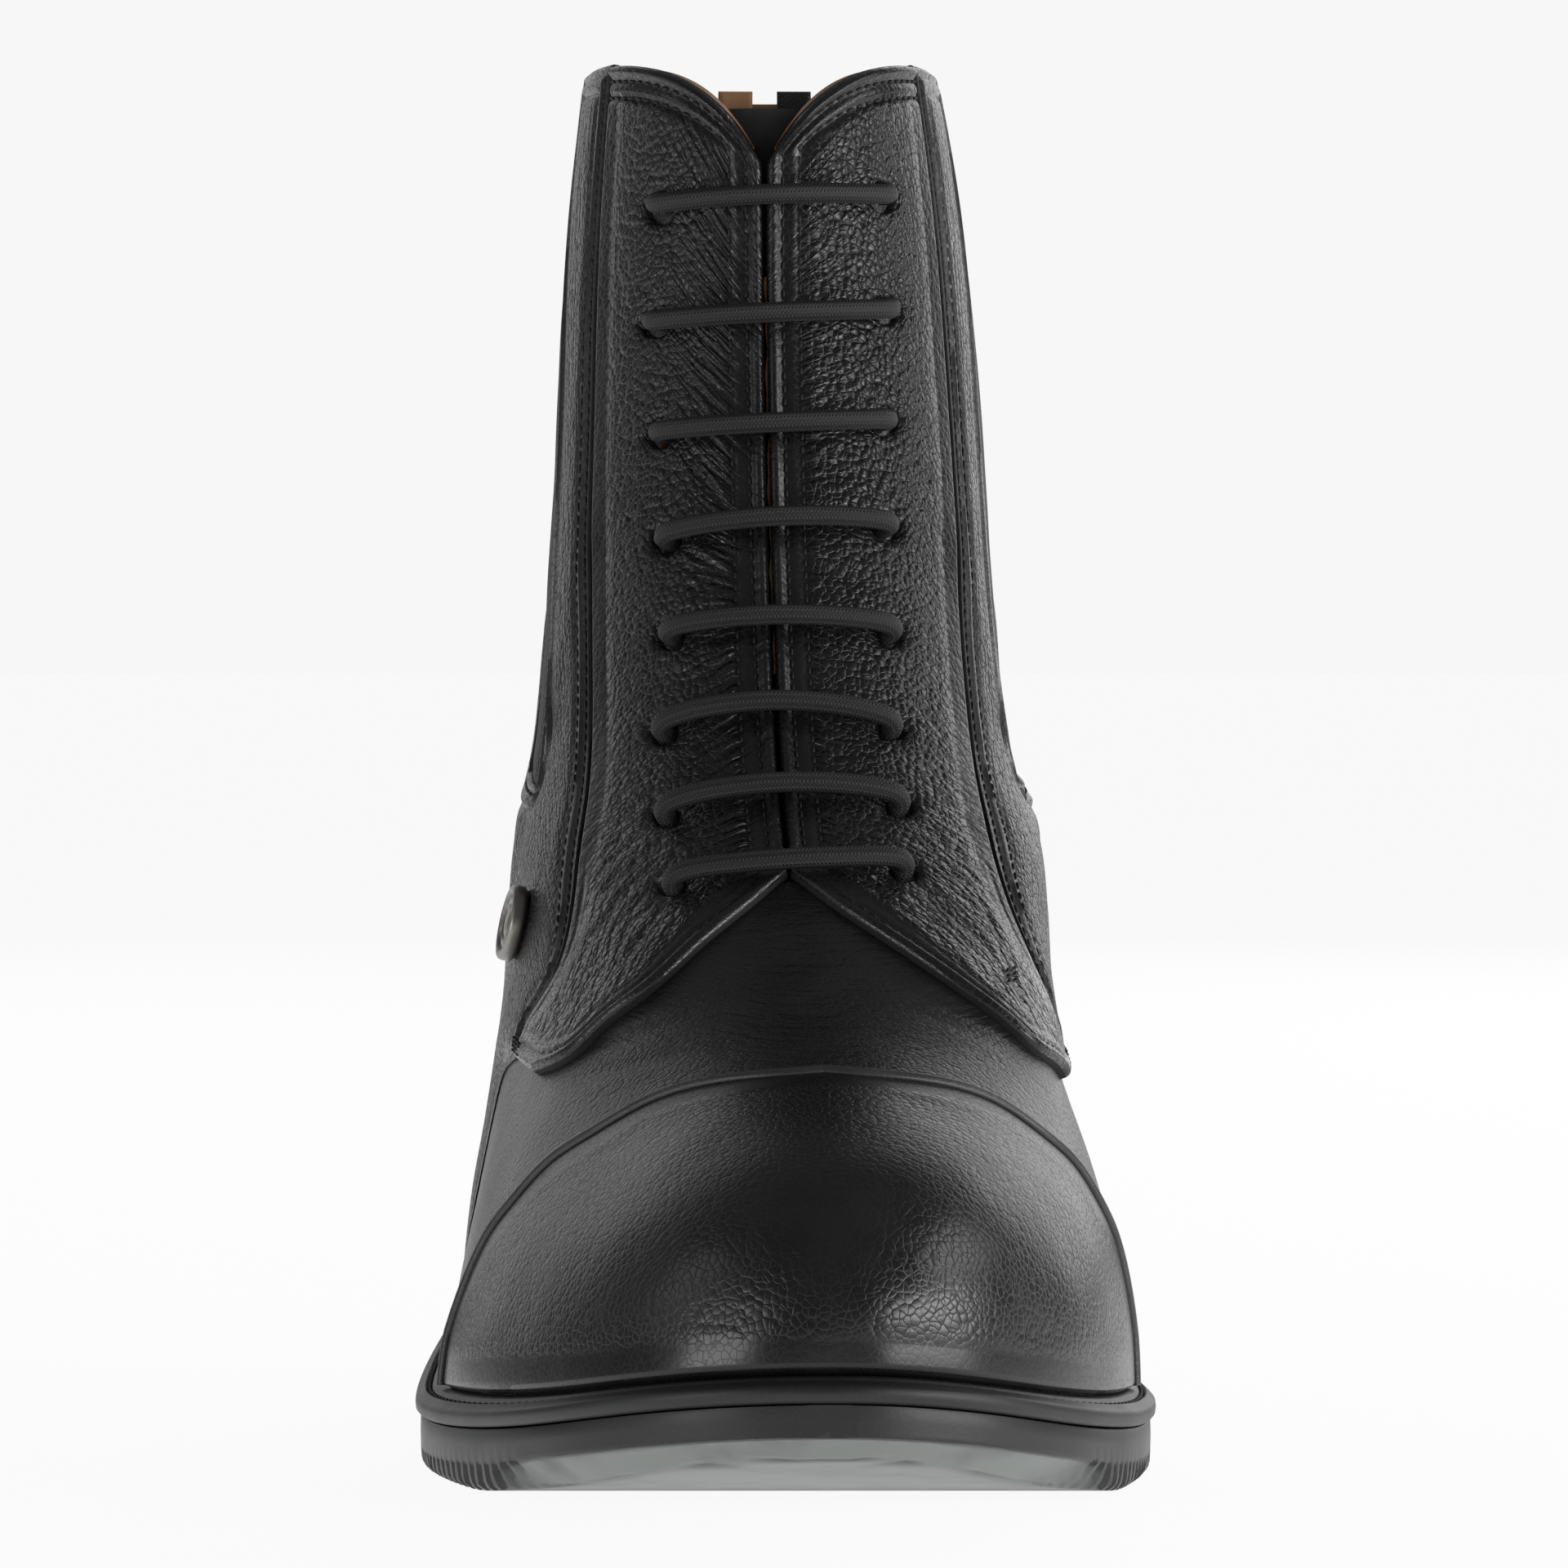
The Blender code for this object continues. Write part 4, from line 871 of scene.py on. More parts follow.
def shell_levels():
    """Levels of the shell's rows, evenly apart along the front line."""
    steps = np.hypot(np.diff(CURVES["front_y"](CREST_LEVELS)), np.diff(CREST_Z))
    length = np.concatenate([[0], np.cumsum(steps)])
    levels = np.interp(np.linspace(0, length[-1], SHELL_ROWS), length, CREST_LEVELS)
    levels[np.argmin(np.abs(levels - SLIT_LEVEL))] = SLIT_LEVEL
    return levels


def make_upper():
    """Vamp, lining and back as one hollow shell with the front slit open."""
    levels = shell_levels()
    columns = 2 * SHELL_COLUMNS - 1
    share = np.linspace(0, 1, SHELL_COLUMNS)
    crowd = (1 - SHELL_CROWD) * share + SHELL_CROWD * share ** 2
    slit_inner = angle_at(levels, SHELL_SLIT_HALF)[:, None]
    slit_outer = angle_at(levels, -SHELL_SLIT_HALF)[:, None]
    inner = slit_inner + crowd * (math.pi - slit_inner)
    outer = slit_outer - crowd * (math.pi + slit_outer)
    angle = np.concatenate([outer[:, ::-1], inner[:, :-1]], axis=1)
    level = np.repeat(levels[:, None], columns, axis=1)
    girth = np.sign(angle) * np.linalg.norm(boot_point(level, angle) - boot_point(level, 0.0), axis=-1)
    level = dipped(level, girth, LINING_PEEK)
    base = boot_point(level, angle)
    keep = np.ones((SHELL_ROWS - 1, columns), bool)
    keep[int(np.argmin(np.abs(levels - SLIT_LEVEL))):, SHELL_COLUMNS - 1] = False
    for hole_level, hole_girth in hole_spots(OUTER) + hole_spots(INNER):
        keep &= hole_reach(level[:-1], girth[:-1], hole_level, hole_girth)[0] > 1.0
    swell = unevenness(base, SHELL_SWELL_SIZE, SHELL_SWELL) * ease(level, 1.0, 1.5)
    height = crease_relief(base, VAMP_CREASES) + swell
    piece = make_slab(
        "upper_shell", base, boot_normal(level, angle), height, -WALL, keep,
        [finish_named("vamp_leather"), finish_named("lining")], (0, 1, 1), ring=True,
        flow=np.stack([girth, level * 20.0, VAMP_DRAWN * ease(level, 4.9, 0.6)], -1),
    )
    return settle(piece, "upper")


def cap_way(count):
    """Levels and girths along the cap seam, closer together round the front."""
    turn = np.linspace(-1, 1, count)
    plain = CAP_SEAM[-1].girth * (0.5 * turn + 0.5 * turn ** 3)
    stretch = np.where(plain > 0, CAP_STRETCH[INNER], CAP_STRETCH[OUTER])
    return cap_level(np.abs(plain)), plain * stretch


def way_frames(level, girth):
    """Places along a way on the upper, with the directions out of the leather and across the way."""
    angle = angle_at(level, girth)
    place = boot_point(level, angle)
    out = boot_normal(level, angle)
    along = unit(np.gradient(place, axis=0))
    return place, out, unit(np.cross(out, along))


CAP_COLUMNS = 190
CAP_ROWS = 84
BEAD_SIDES = 12
BEAD_COUNT = 240
BEAD_DROP_COUNT = 8
BEAD_DROP_FLARE = 0.8
BEAD_LIFT = 0.4
BEAD_FULL = 0.1
BEAD_FLATNESS = 0.8


def make_toe_cap():
    """Cap over the toe, rolled in at the bead."""
    level, girth = cap_way(CAP_COLUMNS)
    place, _, across = way_frames(level, girth)
    up = boot_spot(level + LEVEL_STEP, girth) - place
    climb = np.maximum(np.abs(np.sum(up * across, axis=1)) / LEVEL_STEP, 1.0)
    top = level - (BEAD_WIDTH / 2 + 0.05) / climb
    share = crowded(CAP_ROWS, 0.8, start=False)[:, None]
    grid_level = CAP_LOW + share * (top - CAP_LOW)
    grid_girth = np.repeat(girth[None, :], CAP_ROWS, axis=0)
    grid_angle = angle_at(grid_level, grid_girth)
    piece = leather_panel("toe_cap_leather", grid_level, grid_angle, "cap_leather", ())
    return settle(piece, "toe_cap")


def tube(name, path, out, radius, sides, finish, turns_per_mm=1.0, flatness=1.0):
    """Round or flattened body along a path, with closed ends and a surface map along and round it."""
    along = unit(np.gradient(path, axis=0))
    across = unit(np.cross(out, along))
    lift = np.cross(along, across) * flatness
    turn = np.linspace(0, 2 * math.pi, sides + 1)
    ring = np.cos(turn)[None, :, None] * across[:, None, :] + np.sin(turn)[None, :, None] * lift[:, None, :]
    skin = path[:, None, :] + radius * ring
    count = len(path)
    u = np.repeat(run_along(path)[:, None], sides + 1, axis=1) * turns_per_mm
    v = np.repeat(np.linspace(0, sides, sides + 1)[None, :], count, axis=0)
    cells = np.arange((count - 1) * (sides + 1)).reshape(count - 1, sides + 1)[:, :-1].ravel()
    faces = np.stack([cells, cells + 1, cells + sides + 2, cells + sides + 1], 1)[:, ::-1]
    points = skin.reshape(-1, 3)
    uv = np.stack([u.ravel(), v.ravel()], -1)
    hub = len(points)
    points = np.concatenate([points, path[[0, -1]]])
    uv = np.concatenate([uv, uv[[0, -1]]])
    last = (count - 1) * (sides + 1)
    ends = []
    for k in range(0, sides, 2):
        ends.append((hub, k, k + 1, k + 2))
        ends.append((hub + 1, last + k + 2, last + k + 1, last + k))
    return make_piece(name, points, np.concatenate([faces, np.array(ends)]), [finish_named(finish)], uv=uv)


def bead_way():
    """Levels and girths of the bead: along the cap seam, and down the cap's side edges to the welt."""
    level, girth = cap_way(BEAD_COUNT)
    share = np.linspace(1, 0, BEAD_DROP_COUNT, endpoint=False)
    drop = level[0] + share * (CAP_LOW - level[0])
    flare = BEAD_DROP_FLARE * (1 - (1 - share) ** 2)
    level = np.concatenate([drop, level, drop[::-1]])
    girth = np.concatenate([girth[0] - flare, girth, girth[-1] + flare[::-1]])
    return level, girth


def make_cap_bead():
    """Rolled bead along the back edge of the cap."""
    level, girth = bead_way()
    place, out, _ = way_frames(level, girth)
    path = place + out * (BEAD_HEIGHT - BEAD_WIDTH / 2 + BEAD_LIFT)
    radius = BEAD_WIDTH / 2 + BEAD_FULL
    piece = tube("cap_bead_roll", path, out, radius, BEAD_SIDES, "bead_leather", flatness=BEAD_FLATNESS)
    return settle(piece, "cap_bead")


FACING_ROWS = 230
FACING_COLUMNS = 60
HOLE_RADIUS = 2.1
HOLE_STRETCH = 1.25
HOLE_SHIFT = 0.5
HOLE_CLIMB = 0.045
HOLE_CLIMB_START = 9.5
HOLE_CLIMB_RUN = 4.5
HOLE_GRIP = 1.14


def hole_climb(level):
    """How far the lace climbs on its way into a hole: most where the front stands upright."""
    return HOLE_CLIMB * ease(level, HOLE_CLIMB_START, HOLE_CLIMB_RUN)


def hole_spots(side):
    """Level and girth of the lace holes on one side."""
    ends = [bar[:2] if side == OUTER else bar[2:4] for bar in LACE_BARS]
    return [(level + hole_climb(level), side * girth) for level, girth in ends]


def hole_reach(level, girth, hole_level, hole_girth):
    """How far spots lie from the middle of a lace hole, where 1 is its rim, and the girth of its middle."""
    middle = hole_girth + math.copysign(HOLE_SHIFT, hole_girth)
    span = boot_spot(hole_level + LEVEL_STEP, hole_girth) - boot_spot(hole_level - LEVEL_STEP, hole_girth)
    upward = (level - hole_level) * np.linalg.norm(span) / (2 * LEVEL_STEP)
    return np.hypot((girth - middle) / HOLE_STRETCH, upward) / HOLE_RADIUS, middle


def punched(level, girth, side):
    """Grid of a facing drawn to the rims of its lace holes, and the cells that stay."""
    keep = whole(level)
    for hole_level, hole_girth in hole_spots(side):
        reach, middle = hole_reach(level, girth, hole_level, hole_girth)
        inside = reach < HOLE_GRIP
        keep &= ~(inside[:-1, :-1] & inside[1:, :-1] & inside[:-1, 1:] & inside[1:, 1:])
        pull = np.where(inside, 1 / np.maximum(reach, 0.1), 1.0)
        girth = middle + (girth - middle) * pull
        level = hole_level + (level - hole_level) * pull
    return level, girth, keep


# Drawn creases of a facing: their slope low down, how it changes upwards, and how strong they are
DRAWN_SLOPE = -0.55
DRAWN_CHANGE = 1.35
DRAWN_CHANGE_START = 8.5
DRAWN_CHANGE_RUN = 4.0
DRAWN_LEVEL_HEIGHT = 13.0
DRAWN_REACH = 6.0
DRAWN_OUTER = 0.95
DRAWN_INNER = 0.45
DRAWN_LOW = 0.45
DRAWN_LOW_START = 7.2
DRAWN_LOW_RUN = 2.6


def facing_flow(level, girth):
    """Way of the drawn creases on a facing: they fall to the slit high up and climb to it lower down."""
    outer = girth < 0
    away = np.abs(girth)
    slope = DRAWN_SLOPE + DRAWN_CHANGE * ease(level, DRAWN_CHANGE_START, DRAWN_CHANGE_RUN)
    across = level * DRAWN_LEVEL_HEIGHT - np.where(outer, slope, 0.6 * slope - 0.25) * away
    fade = np.exp(-np.clip(away - DRAWN_REACH, 0, None) / DRAWN_REACH)
    near_slit = fade * np.where(outer, DRAWN_OUTER, DRAWN_INNER)
    low = DRAWN_LOW * (1 - ease(level, DRAWN_LOW_START, DRAWN_LOW_RUN))
    return np.stack([away, across, np.maximum(near_slit, low)], -1)


FACING_FURROWS = (2.3, 4.7)
LOWER_FURROW = 2.2
LOWER_SINK = 0.3
LOWER_RIDGE = 0.25
LOWER_RIDGE_PLACE = 1.1
LEVEL_HEIGHT = 19.0
SLIT_ROLL = 0.55
SLIT_ROLL_PLACE = 0.9
RIDGE_WIDTH = 0.7
HOLE_SINK = 0.5
HOLE_SINK_WIDTH = 3.2


def facing_relief(side, level, girth):
    """Relief of a facing: rolled slit edge, stitch furrows, turned lower edge and sunk lace holes."""
    from_slit = np.abs(girth) - FACING_SLIT_HALF
    from_collar = (TOP_LEVEL - level) * LEVEL_HEIGHT
    from_seam = side_seam[side](level) - np.abs(girth)
    slit_part = ease(level, FACING_EDGE[-1].level - 0.1, 0.4)
    edge = np.minimum(from_slit + 60 * (1 - slit_part), from_collar)
    low_part = (1 - ease(level, 6.6, 0.6)) * ease(from_seam, 2.0, 2.0)

    def relief(base, distance):
        rise = SLIT_ROLL * bump(edge - SLIT_ROLL_PLACE, RIDGE_WIDTH)
        for row in FACING_FURROWS:
            rise = rise - STITCH_SINK * bump(edge - row, STITCH_SINK_WIDTH)
        ridge = LOWER_RIDGE * bump(distance - LOWER_RIDGE_PLACE, RIDGE_WIDTH)
        rise = rise + low_part * (ridge - LOWER_SINK * bump(distance - LOWER_FURROW, 0.5))
        for hole_level, hole_girth in hole_spots(side):
            away = np.linalg.norm(base - boot_spot(hole_level, hole_girth), axis=-1)
            rise = rise - HOLE_SINK * bump(away, HOLE_SINK_WIDTH)
        return rise

    return relief


def make_facing(side):
    """Lace facing with punched holes."""
    low = FACING_EDGE[0].level
    levels = low + crowded(FACING_ROWS, 0.6) * (TOP_LEVEL - low)
    edge = np.where(levels < FACING_EDGE[-1].level, facing_edge[side](levels), FACING_SLIT_HALF)
    start = np.maximum(edge, FACING_SLIT_HALF)
    end = side_seam[side](levels) - SEAM_GAP / 2
    level, girth = side_grid(levels, start, end, crowded(FACING_COLUMNS, 0.72), side)
    level, girth, keep = punched(level, girth, side)
    piece = leather_panel(
        "facing_leather_" + SIDE_NAME[side], dipped(level, girth), angle_at(level, girth), "facing_leather",
        FACING_CREASES, facing_relief(side, level, girth), keep, True, flow=facing_flow(level, girth),
    )
    return settle(piece, "facing_" + SIDE_NAME[side])


QUARTER_LOW_ROWS = 70
QUARTER_HIGH_ROWS = 76
STRIP_COLUMNS = 24
GORE_COLUMNS = 10
BACK_COLUMNS = 62


def window_edges(level, side):
    """Girths of the gore window at a level, running on below it as plain column lines."""
    seam = float(side_seam[side](level))
    rest = float(half_girth(level, side)) - seam
    if level >= GORE_SILL:
        return float(gore_front(level)), float(gore_back(level))
    sill_seam = float(side_seam[side](GORE_SILL))
    sill_rest = float(half_girth(GORE_SILL, side)) - sill_seam
    fade = float(ease(level, 0, GORE_SILL))
    front = fade * (GORES[0].front - sill_seam) / sill_rest + (1 - fade) * FRONT_SHARE
    back = fade * (GORES[0].back - sill_seam) / sill_rest + (1 - fade) * BACK_SHARE
    return seam + front * rest, seam + back * rest


def quarter_girths(level, side):
    """Girths of the quarters' columns on one side: side strip, gore window, back."""
    front, back = window_edges(level, side)
    seam = float(side_seam[side](level)) + SEAM_GAP / 2
    strip = seam + crowded(STRIP_COLUMNS, 0.7) * (front - seam)
    window = np.linspace(front, back, GORE_COLUMNS)
    rear = back + crowded(BACK_COLUMNS, 0.7, end=False) * (float(half_girth(level, side)) - back)
    return np.concatenate([strip, window[1:], rear[1:]])


QUARTER_FURROWS = (1.6, 4.0)
QUARTER_RIDGE = 0.25
QUARTER_DRAWN = 0.5
QUARTER_DRAWN_PLACE = 12.0
QUARTER_DRAWN_WIDTH = 14.0
SKIVE_LEVEL = 4.2
SKIVE_GIRTH = 20.0
SKIVE_DEPTH = 1.35


def quarter_relief(level, girth):
    """Relief of the quarters: stitch furrows along each edge, and a thinned front edge down to the sole."""
    seam = np.where(girth > 0, side_seam[INNER](level), side_seam[OUTER](level))
    thinned = (1 - ease(level, SKIVE_LEVEL, 0.5)) * (1 - ease(np.abs(girth) - seam, 0.0, SKIVE_GIRTH))

    def relief(_, distance):
        rise = QUARTER_RIDGE * bump(distance - sum(QUARTER_FURROWS) / 2, RIDGE_WIDTH)
        for row in QUARTER_FURROWS:
            rise = rise - STITCH_SINK * bump(distance - row, STITCH_SINK_WIDTH)
        return rise * (1 - thinned) - SKIVE_DEPTH * thinned

    return relief


def make_quarters():
    """Side strips, lower quarters and back in one panel with a window for each gore."""
    low = SIDE_SEAM[0].level
    below = low + crowded(QUARTER_LOW_ROWS, 0.5) * (GORE_SILL - low)
    above = GORE_SILL + crowded(QUARTER_HIGH_ROWS, 0.6) * (TOP_LEVEL - GORE_SILL)
    levels = np.concatenate([below, above[1:]])
    girth = []
    angle = []
    for level in levels:
        inner = quarter_girths(level, INNER)
        outer = -quarter_girths(level, OUTER)[-2::-1]
        girth.append(np.concatenate([inner, outer]))
        angle.append(np.concatenate([angle_at(level, inner), 2 * math.pi + angle_at(level, outer)]))
    girth = np.array(girth)
    level = np.repeat(levels[:, None], girth.shape[1], axis=1)
    keep = whole(level)
    spans = keep.shape[1]
    sill = QUARTER_LOW_ROWS - 1
    first = STRIP_COLUMNS - 1
    last = first + GORE_COLUMNS - 1
    keep[sill:, first:last] = False
    keep[sill:, spans - last:spans - first] = False
    from_seam = np.abs(girth) - side_seam[OUTER](level)
    drawn = QUARTER_DRAWN * bump(from_seam - QUARTER_DRAWN_PLACE, QUARTER_DRAWN_WIDTH)
    flow = np.stack([level * 14.0, np.abs(girth) * 0.9, drawn * ease(level, SKIVE_LEVEL, 1.0)], -1)
    piece = leather_panel(
        "quarter_leather", level, np.array(angle), "quarter_leather", QUARTER_CREASES,
        quarter_relief(level, girth), keep, flow=flow,
    )
    return settle(piece, "quarters")


GORE_ROWS = 90
GORE_FINE_COLUMNS = 44
GORE_RIB = 1.5
GORE_WEFT = 0.9
GORE_CLEAR = 0.1


def make_gore(side):
    """Elastic panel in a window of the quarters."""
    levels = np.linspace(GORE_SILL + 0.02, TOP_LEVEL - 0.02, GORE_ROWS)
    share = np.linspace(0, 1, GORE_FINE_COLUMNS)
    level, girth = side_grid(
        levels, gore_front(levels) + GORE_CLEAR, gore_back(levels) - GORE_CLEAR, share, side,
    )
    angle = angle_at(level, girth)
    base = boot_point(level, angle)
    sunk = 0.35 * bump(rim_distance(base, whole(level)), 1.2)
    piece = make_slab(
        "gore_elastic_" + SIDE_NAME[side], base, boot_normal(level, angle),
        GAP + GORE_SKIN - sunk + unevenness(base, 12.0, 0.15), PANEL_SEAT, whole(level),
        [finish_named("elastic")], uv=np.stack([base[..., 2] / GORE_WEFT, girth / GORE_RIB], -1),
    )
    return settle(piece, "gore_" + SIDE_NAME[side])


TONGUE_THICK = 2.0
TONGUE_CLEAR = 0.7
TONGUE_HALF = 21.0
TONGUE_LOW = 6.3
TONGUE_TOP = 14.62
TONGUE_ROWS = 150
TONGUE_COLUMNS = 60


def make_tongue():
    """Suede tongue behind the front slit."""
    level, girth = np.meshgrid(
        np.linspace(TONGUE_LOW, TONGUE_TOP, TONGUE_ROWS),
        np.linspace(-TONGUE_HALF, TONGUE_HALF, TONGUE_COLUMNS), indexing="ij",
    )
    angle = angle_at(level, girth)
    base = boot_point(level, angle)
    distance = rim_distance(base, whole(level))
    face = -WALL - TONGUE_CLEAR
    high = face - rolled(distance, 0.7) + unevenness(base, 9.0, 0.25) - 0.25 * bump(distance - 2.5, 0.6)
    piece = make_slab(
        "tongue_suede", base, boot_normal(level, angle), high, face - TONGUE_THICK, whole(level),
        [finish_named("suede")],
    )
    return settle(piece, "tongue")


LACE_RADIUS = 1.5
LACE_SIDES = 16
LACE_STEPS = 61
LaceStep = namedtuple("LaceStep", "inward rise")
LACE_END = (
    LaceStep(0.0, -1.6), LaceStep(0.0, 0.8), LaceStep(0.0, 2.0), LaceStep(1.3, 3.3), LaceStep(3.2, 3.7),
)
LACE_MIDDLE = (0.45, 0.0)
LACE_LIFT = 3.75
LACE_TURNS = 1.4


def lace_path(bar):
    """Smooth middle line of one lace bar from hole to hole."""
    spots = []
    for side, girth in ((OUTER, bar.outer_girth), (INNER, bar.inner_girth)):
        half = [(side * (girth - step.inward), step.rise) for step in LACE_END]
        half += [(side * girth * share, LACE_LIFT) for share in LACE_MIDDLE]
        spots += half if side == OUTER else half[-2::-1]
    girth, rise = np.array(spots).T
    share = (girth + bar.outer_girth) / (bar.outer_girth + bar.inner_girth)
    level = bar.outer_level + share * (bar.inner_level - bar.outer_level)
    level = level + bar.arch * 4 * share * (1 - share)
    level = level + hole_climb(level) * (LACE_LIFT - rise) / (LACE_LIFT - PANEL_TOP)
    points = boot_spot(level, girth, rise)
    run = run_along(points)
    steps = np.linspace(0, run[-1], LACE_STEPS)
    return np.stack([through_points(run, points[:, k])(steps) for k in range(3)], -1)


def make_laces():
    """Eight bars of braided elastic cord, each bending in one plane."""
    for number, bar in enumerate(LACE_BARS, 1):
        path = lace_path(bar)
        flat = unit(np.cross(path[-1] - path[0], boot_normal(bar.outer_level, 0.0)))
        out = unit(np.cross(np.gradient(path, axis=0), flat))
        piece = tube(f"lace_cord_{number}", path, out, LACE_RADIUS, LACE_SIDES, "lace_cord", LACE_TURNS)
        settle(piece, f"lace_bar_{number}")


SLIT_LINING_LEVELS = (9.6, 13.3)
SLIT_LINING_ROWS = 60
# Corners of the lining's edge in the slit: girth and rise
SLIT_LINING_CORNERS = ((1.3, 0.0), (0.05, 0.1), (0.05, -0.35), (1.3, -0.45))


def make_slit_lining():
    """Edge of the tan lining that shows in the slit high up."""
    level = np.linspace(*SLIT_LINING_LEVELS, SLIT_LINING_ROWS)
    wave = 0.12 * np.sin(7 * level) + 0.1 * np.sin(17 * level)
    corners = [boot_spot(level, girth + wave * (girth < 1), rise) for girth, rise in SLIT_LINING_CORNERS]
    return settle(loft("slit_lining", np.stack(corners, 1), "lining", False))


DISC_LEVEL = 6.07
DISC_GIRTH = -88.0
DISC_SIDES = 56
# Face of the disc: radius, height and how dark the metal has aged there
DiscRing = namedtuple("DiscRing", "radius rise age")
DISC_RINGS = (
    DiscRing(4.6, -1.0, 0.6), DiscRing(5.2, 0.0, 0.5), DiscRing(5.55, 0.25, 0.2), DiscRing(5.62, 0.6, 0.1),
    DiscRing(5.62, 1.5, 0.1), DiscRing(5.5, 1.95, 0.0), DiscRing(5.2, 2.18, 0.0), DiscRing(4.8, 2.2, 0.0),
    DiscRing(4.5, 2.05, 0.3), DiscRing(4.25, 1.7, 1.0), DiscRing(4.0, 1.6, 1.0), DiscRing(3.75, 1.75, 0.4),
    DiscRing(3.5, 1.9, 0.0), DiscRing(3.2, 1.9, 0.0), DiscRing(2.95, 1.7, 0.6), DiscRing(2.7, 1.6, 1.0),
    DiscRing(2.4, 1.62, 0.8), DiscRing(1.9, 1.85, 0.2), DiscRing(1.2, 2.0, 0.0), DiscRing(0.5, 2.05, 0.0),
    DiscRing(0.02, 2.06, 0.0),
)


def make_side_disc():
    """Plain ringed metal disc on the outer quarter."""
    angle = angle_at(DISC_LEVEL, DISC_GIRTH)
    out = boot_normal(DISC_LEVEL, angle)
    flat = unit(np.cross(out, (0, 0, 1)))
    up = np.cross(flat, out)
    seat = boot_point(DISC_LEVEL, angle) + out * (PANEL_TOP + GAP)
    turn = np.arange(DISC_SIDES) * 2 * math.pi / DISC_SIDES
    ring = np.cos(turn)[:, None] * flat + np.sin(turn)[:, None] * up
    points = np.concatenate([seat + out * row.rise + row.radius * ring for row in DISC_RINGS])
    age = np.repeat([row.age for row in DISC_RINGS], DISC_SIDES)
    cells = np.arange((len(DISC_RINGS) - 1) * DISC_SIDES)
    after = cells - cells % DISC_SIDES + (cells + 1) % DISC_SIDES
    faces = np.stack([cells, after, after + DISC_SIDES, cells + DISC_SIDES], 1)
    flow = age[:, None] * (0, 0, 1)
    piece = make_piece("disc_metal", points, faces, [finish_named("antique_silver")], flow=flow)
    return settle(piece, "side_disc")


TAB_LOW = 13.9
TAB_TOP = 15.1
TAB_NEAR = 2.2
TAB_FAR = 8.8
TAB_THICK = 1.1
TAB_CLEAR = 0.5
TAB_ROLL = 0.4
TAB_THREAD = 0.8
TAB_ROWS = 30
TAB_COLUMNS = 14


def make_pull_tab(side):
    """Webbing tab sewn inside the back of the collar. The outer one has a tan face inside."""
    levels = np.linspace(TAB_LOW, TAB_TOP, TAB_ROWS)
    back = half_girth(levels, side)
    level, girth = side_grid(levels, back - TAB_FAR, back - TAB_NEAR, np.linspace(0, 1, TAB_COLUMNS), side)
    angle = angle_at(level, girth)
    base = boot_point(level, angle)
    roll = rolled(rim_distance(base, whole(level)), TAB_ROLL)
    face = -WALL - TAB_CLEAR
    piece = make_slab(
        "pull_tab_webbing_" + SIDE_NAME[side], base, boot_normal(level, angle),
        face - roll, face - TAB_THICK + roll, whole(level),
        [finish_named("webbing"), finish_named("lining" if side == OUTER else "webbing")], (0, 1, 0),
        uv=np.stack([base[..., 2], girth], -1) / TAB_THREAD,
    )
    return settle(piece, "pull_tab_" + SIDE_NAME[side])


# Sole sizes
SIDEWALL = 4.9
TREAD_EDGE = 0.8
TOE_LIFT = 9.4
FLAT_START = -85.0
FLAT_END = -28.0
TOE_LIFT_POWER = 1.6
TOE_TIP = -140.0
ARCH_RUN = 30.0
WAIST_SOLE = 6.6
BREAST_Y = 68.0
BREAST_STEP = 0.2
BEVEL_INSET = 7.5
BEVEL_END = -103.0
EDGE_INSET = 0.4
RIB_START = -104.0
RIB_END = -20.0
RIB_PITCH = 3.0
RIB_DEPTH = 0.9
HEEL_INSET = 2.4
HEEL_TURN = 1.0
TIP_STEP = 0.2
RIB_STEPS = 6
END_STEPS = 70
WAIST_STEPS = 50


def offset_outline(offset):
    """Outline of the upper's foot at a distance, as one row of spots for each side."""
    flat = boot_point(0.0, RING_ANGLES)[:, :2]
    tangent = np.gradient(flat, axis=0)
    out = unit(np.stack([tangent[:, 1], -tangent[:, 0]], -1))
    moved = flat + out * np.reshape(offset(flat[:, 1]), (-1, 1))
    middle = len(RING_ANGLES) // 2
    return moved[middle::-1], moved[middle:]


def outline_ends(outer_edge, inner_edge):
    """Foremost and rearmost y at which both sides of an outline have a width."""
    front = max(outer_edge[:, 1].min(), inner_edge[:, 1].min()) + TIP_STEP
    back = min(outer_edge[:, 1].max(), inner_edge[:, 1].max()) - TIP_STEP
    return front, back


def outline_x(edge, y):
    """x of one side of an outline at y."""
    order = np.argsort(edge[:, 1])
    return np.interp(y, edge[order, 1], edge[order, 0])


def tread_height(y):
    """Underside of the sole: toe spring, flat forefoot, arch and flat heel."""
    if y > BREAST_Y:
        return 0.0
    if y < FLAT_START:
        return TOE_LIFT * ((FLAT_START - y) / (FLAT_START - TOE_TIP)) ** TOE_LIFT_POWER
    arch = float(sole_top(BREAST_Y)) - WAIST_SOLE
    return arch * float(ease(y, FLAT_END, BREAST_Y + ARCH_RUN - FLAT_END)) if y > FLAT_END else 0.0


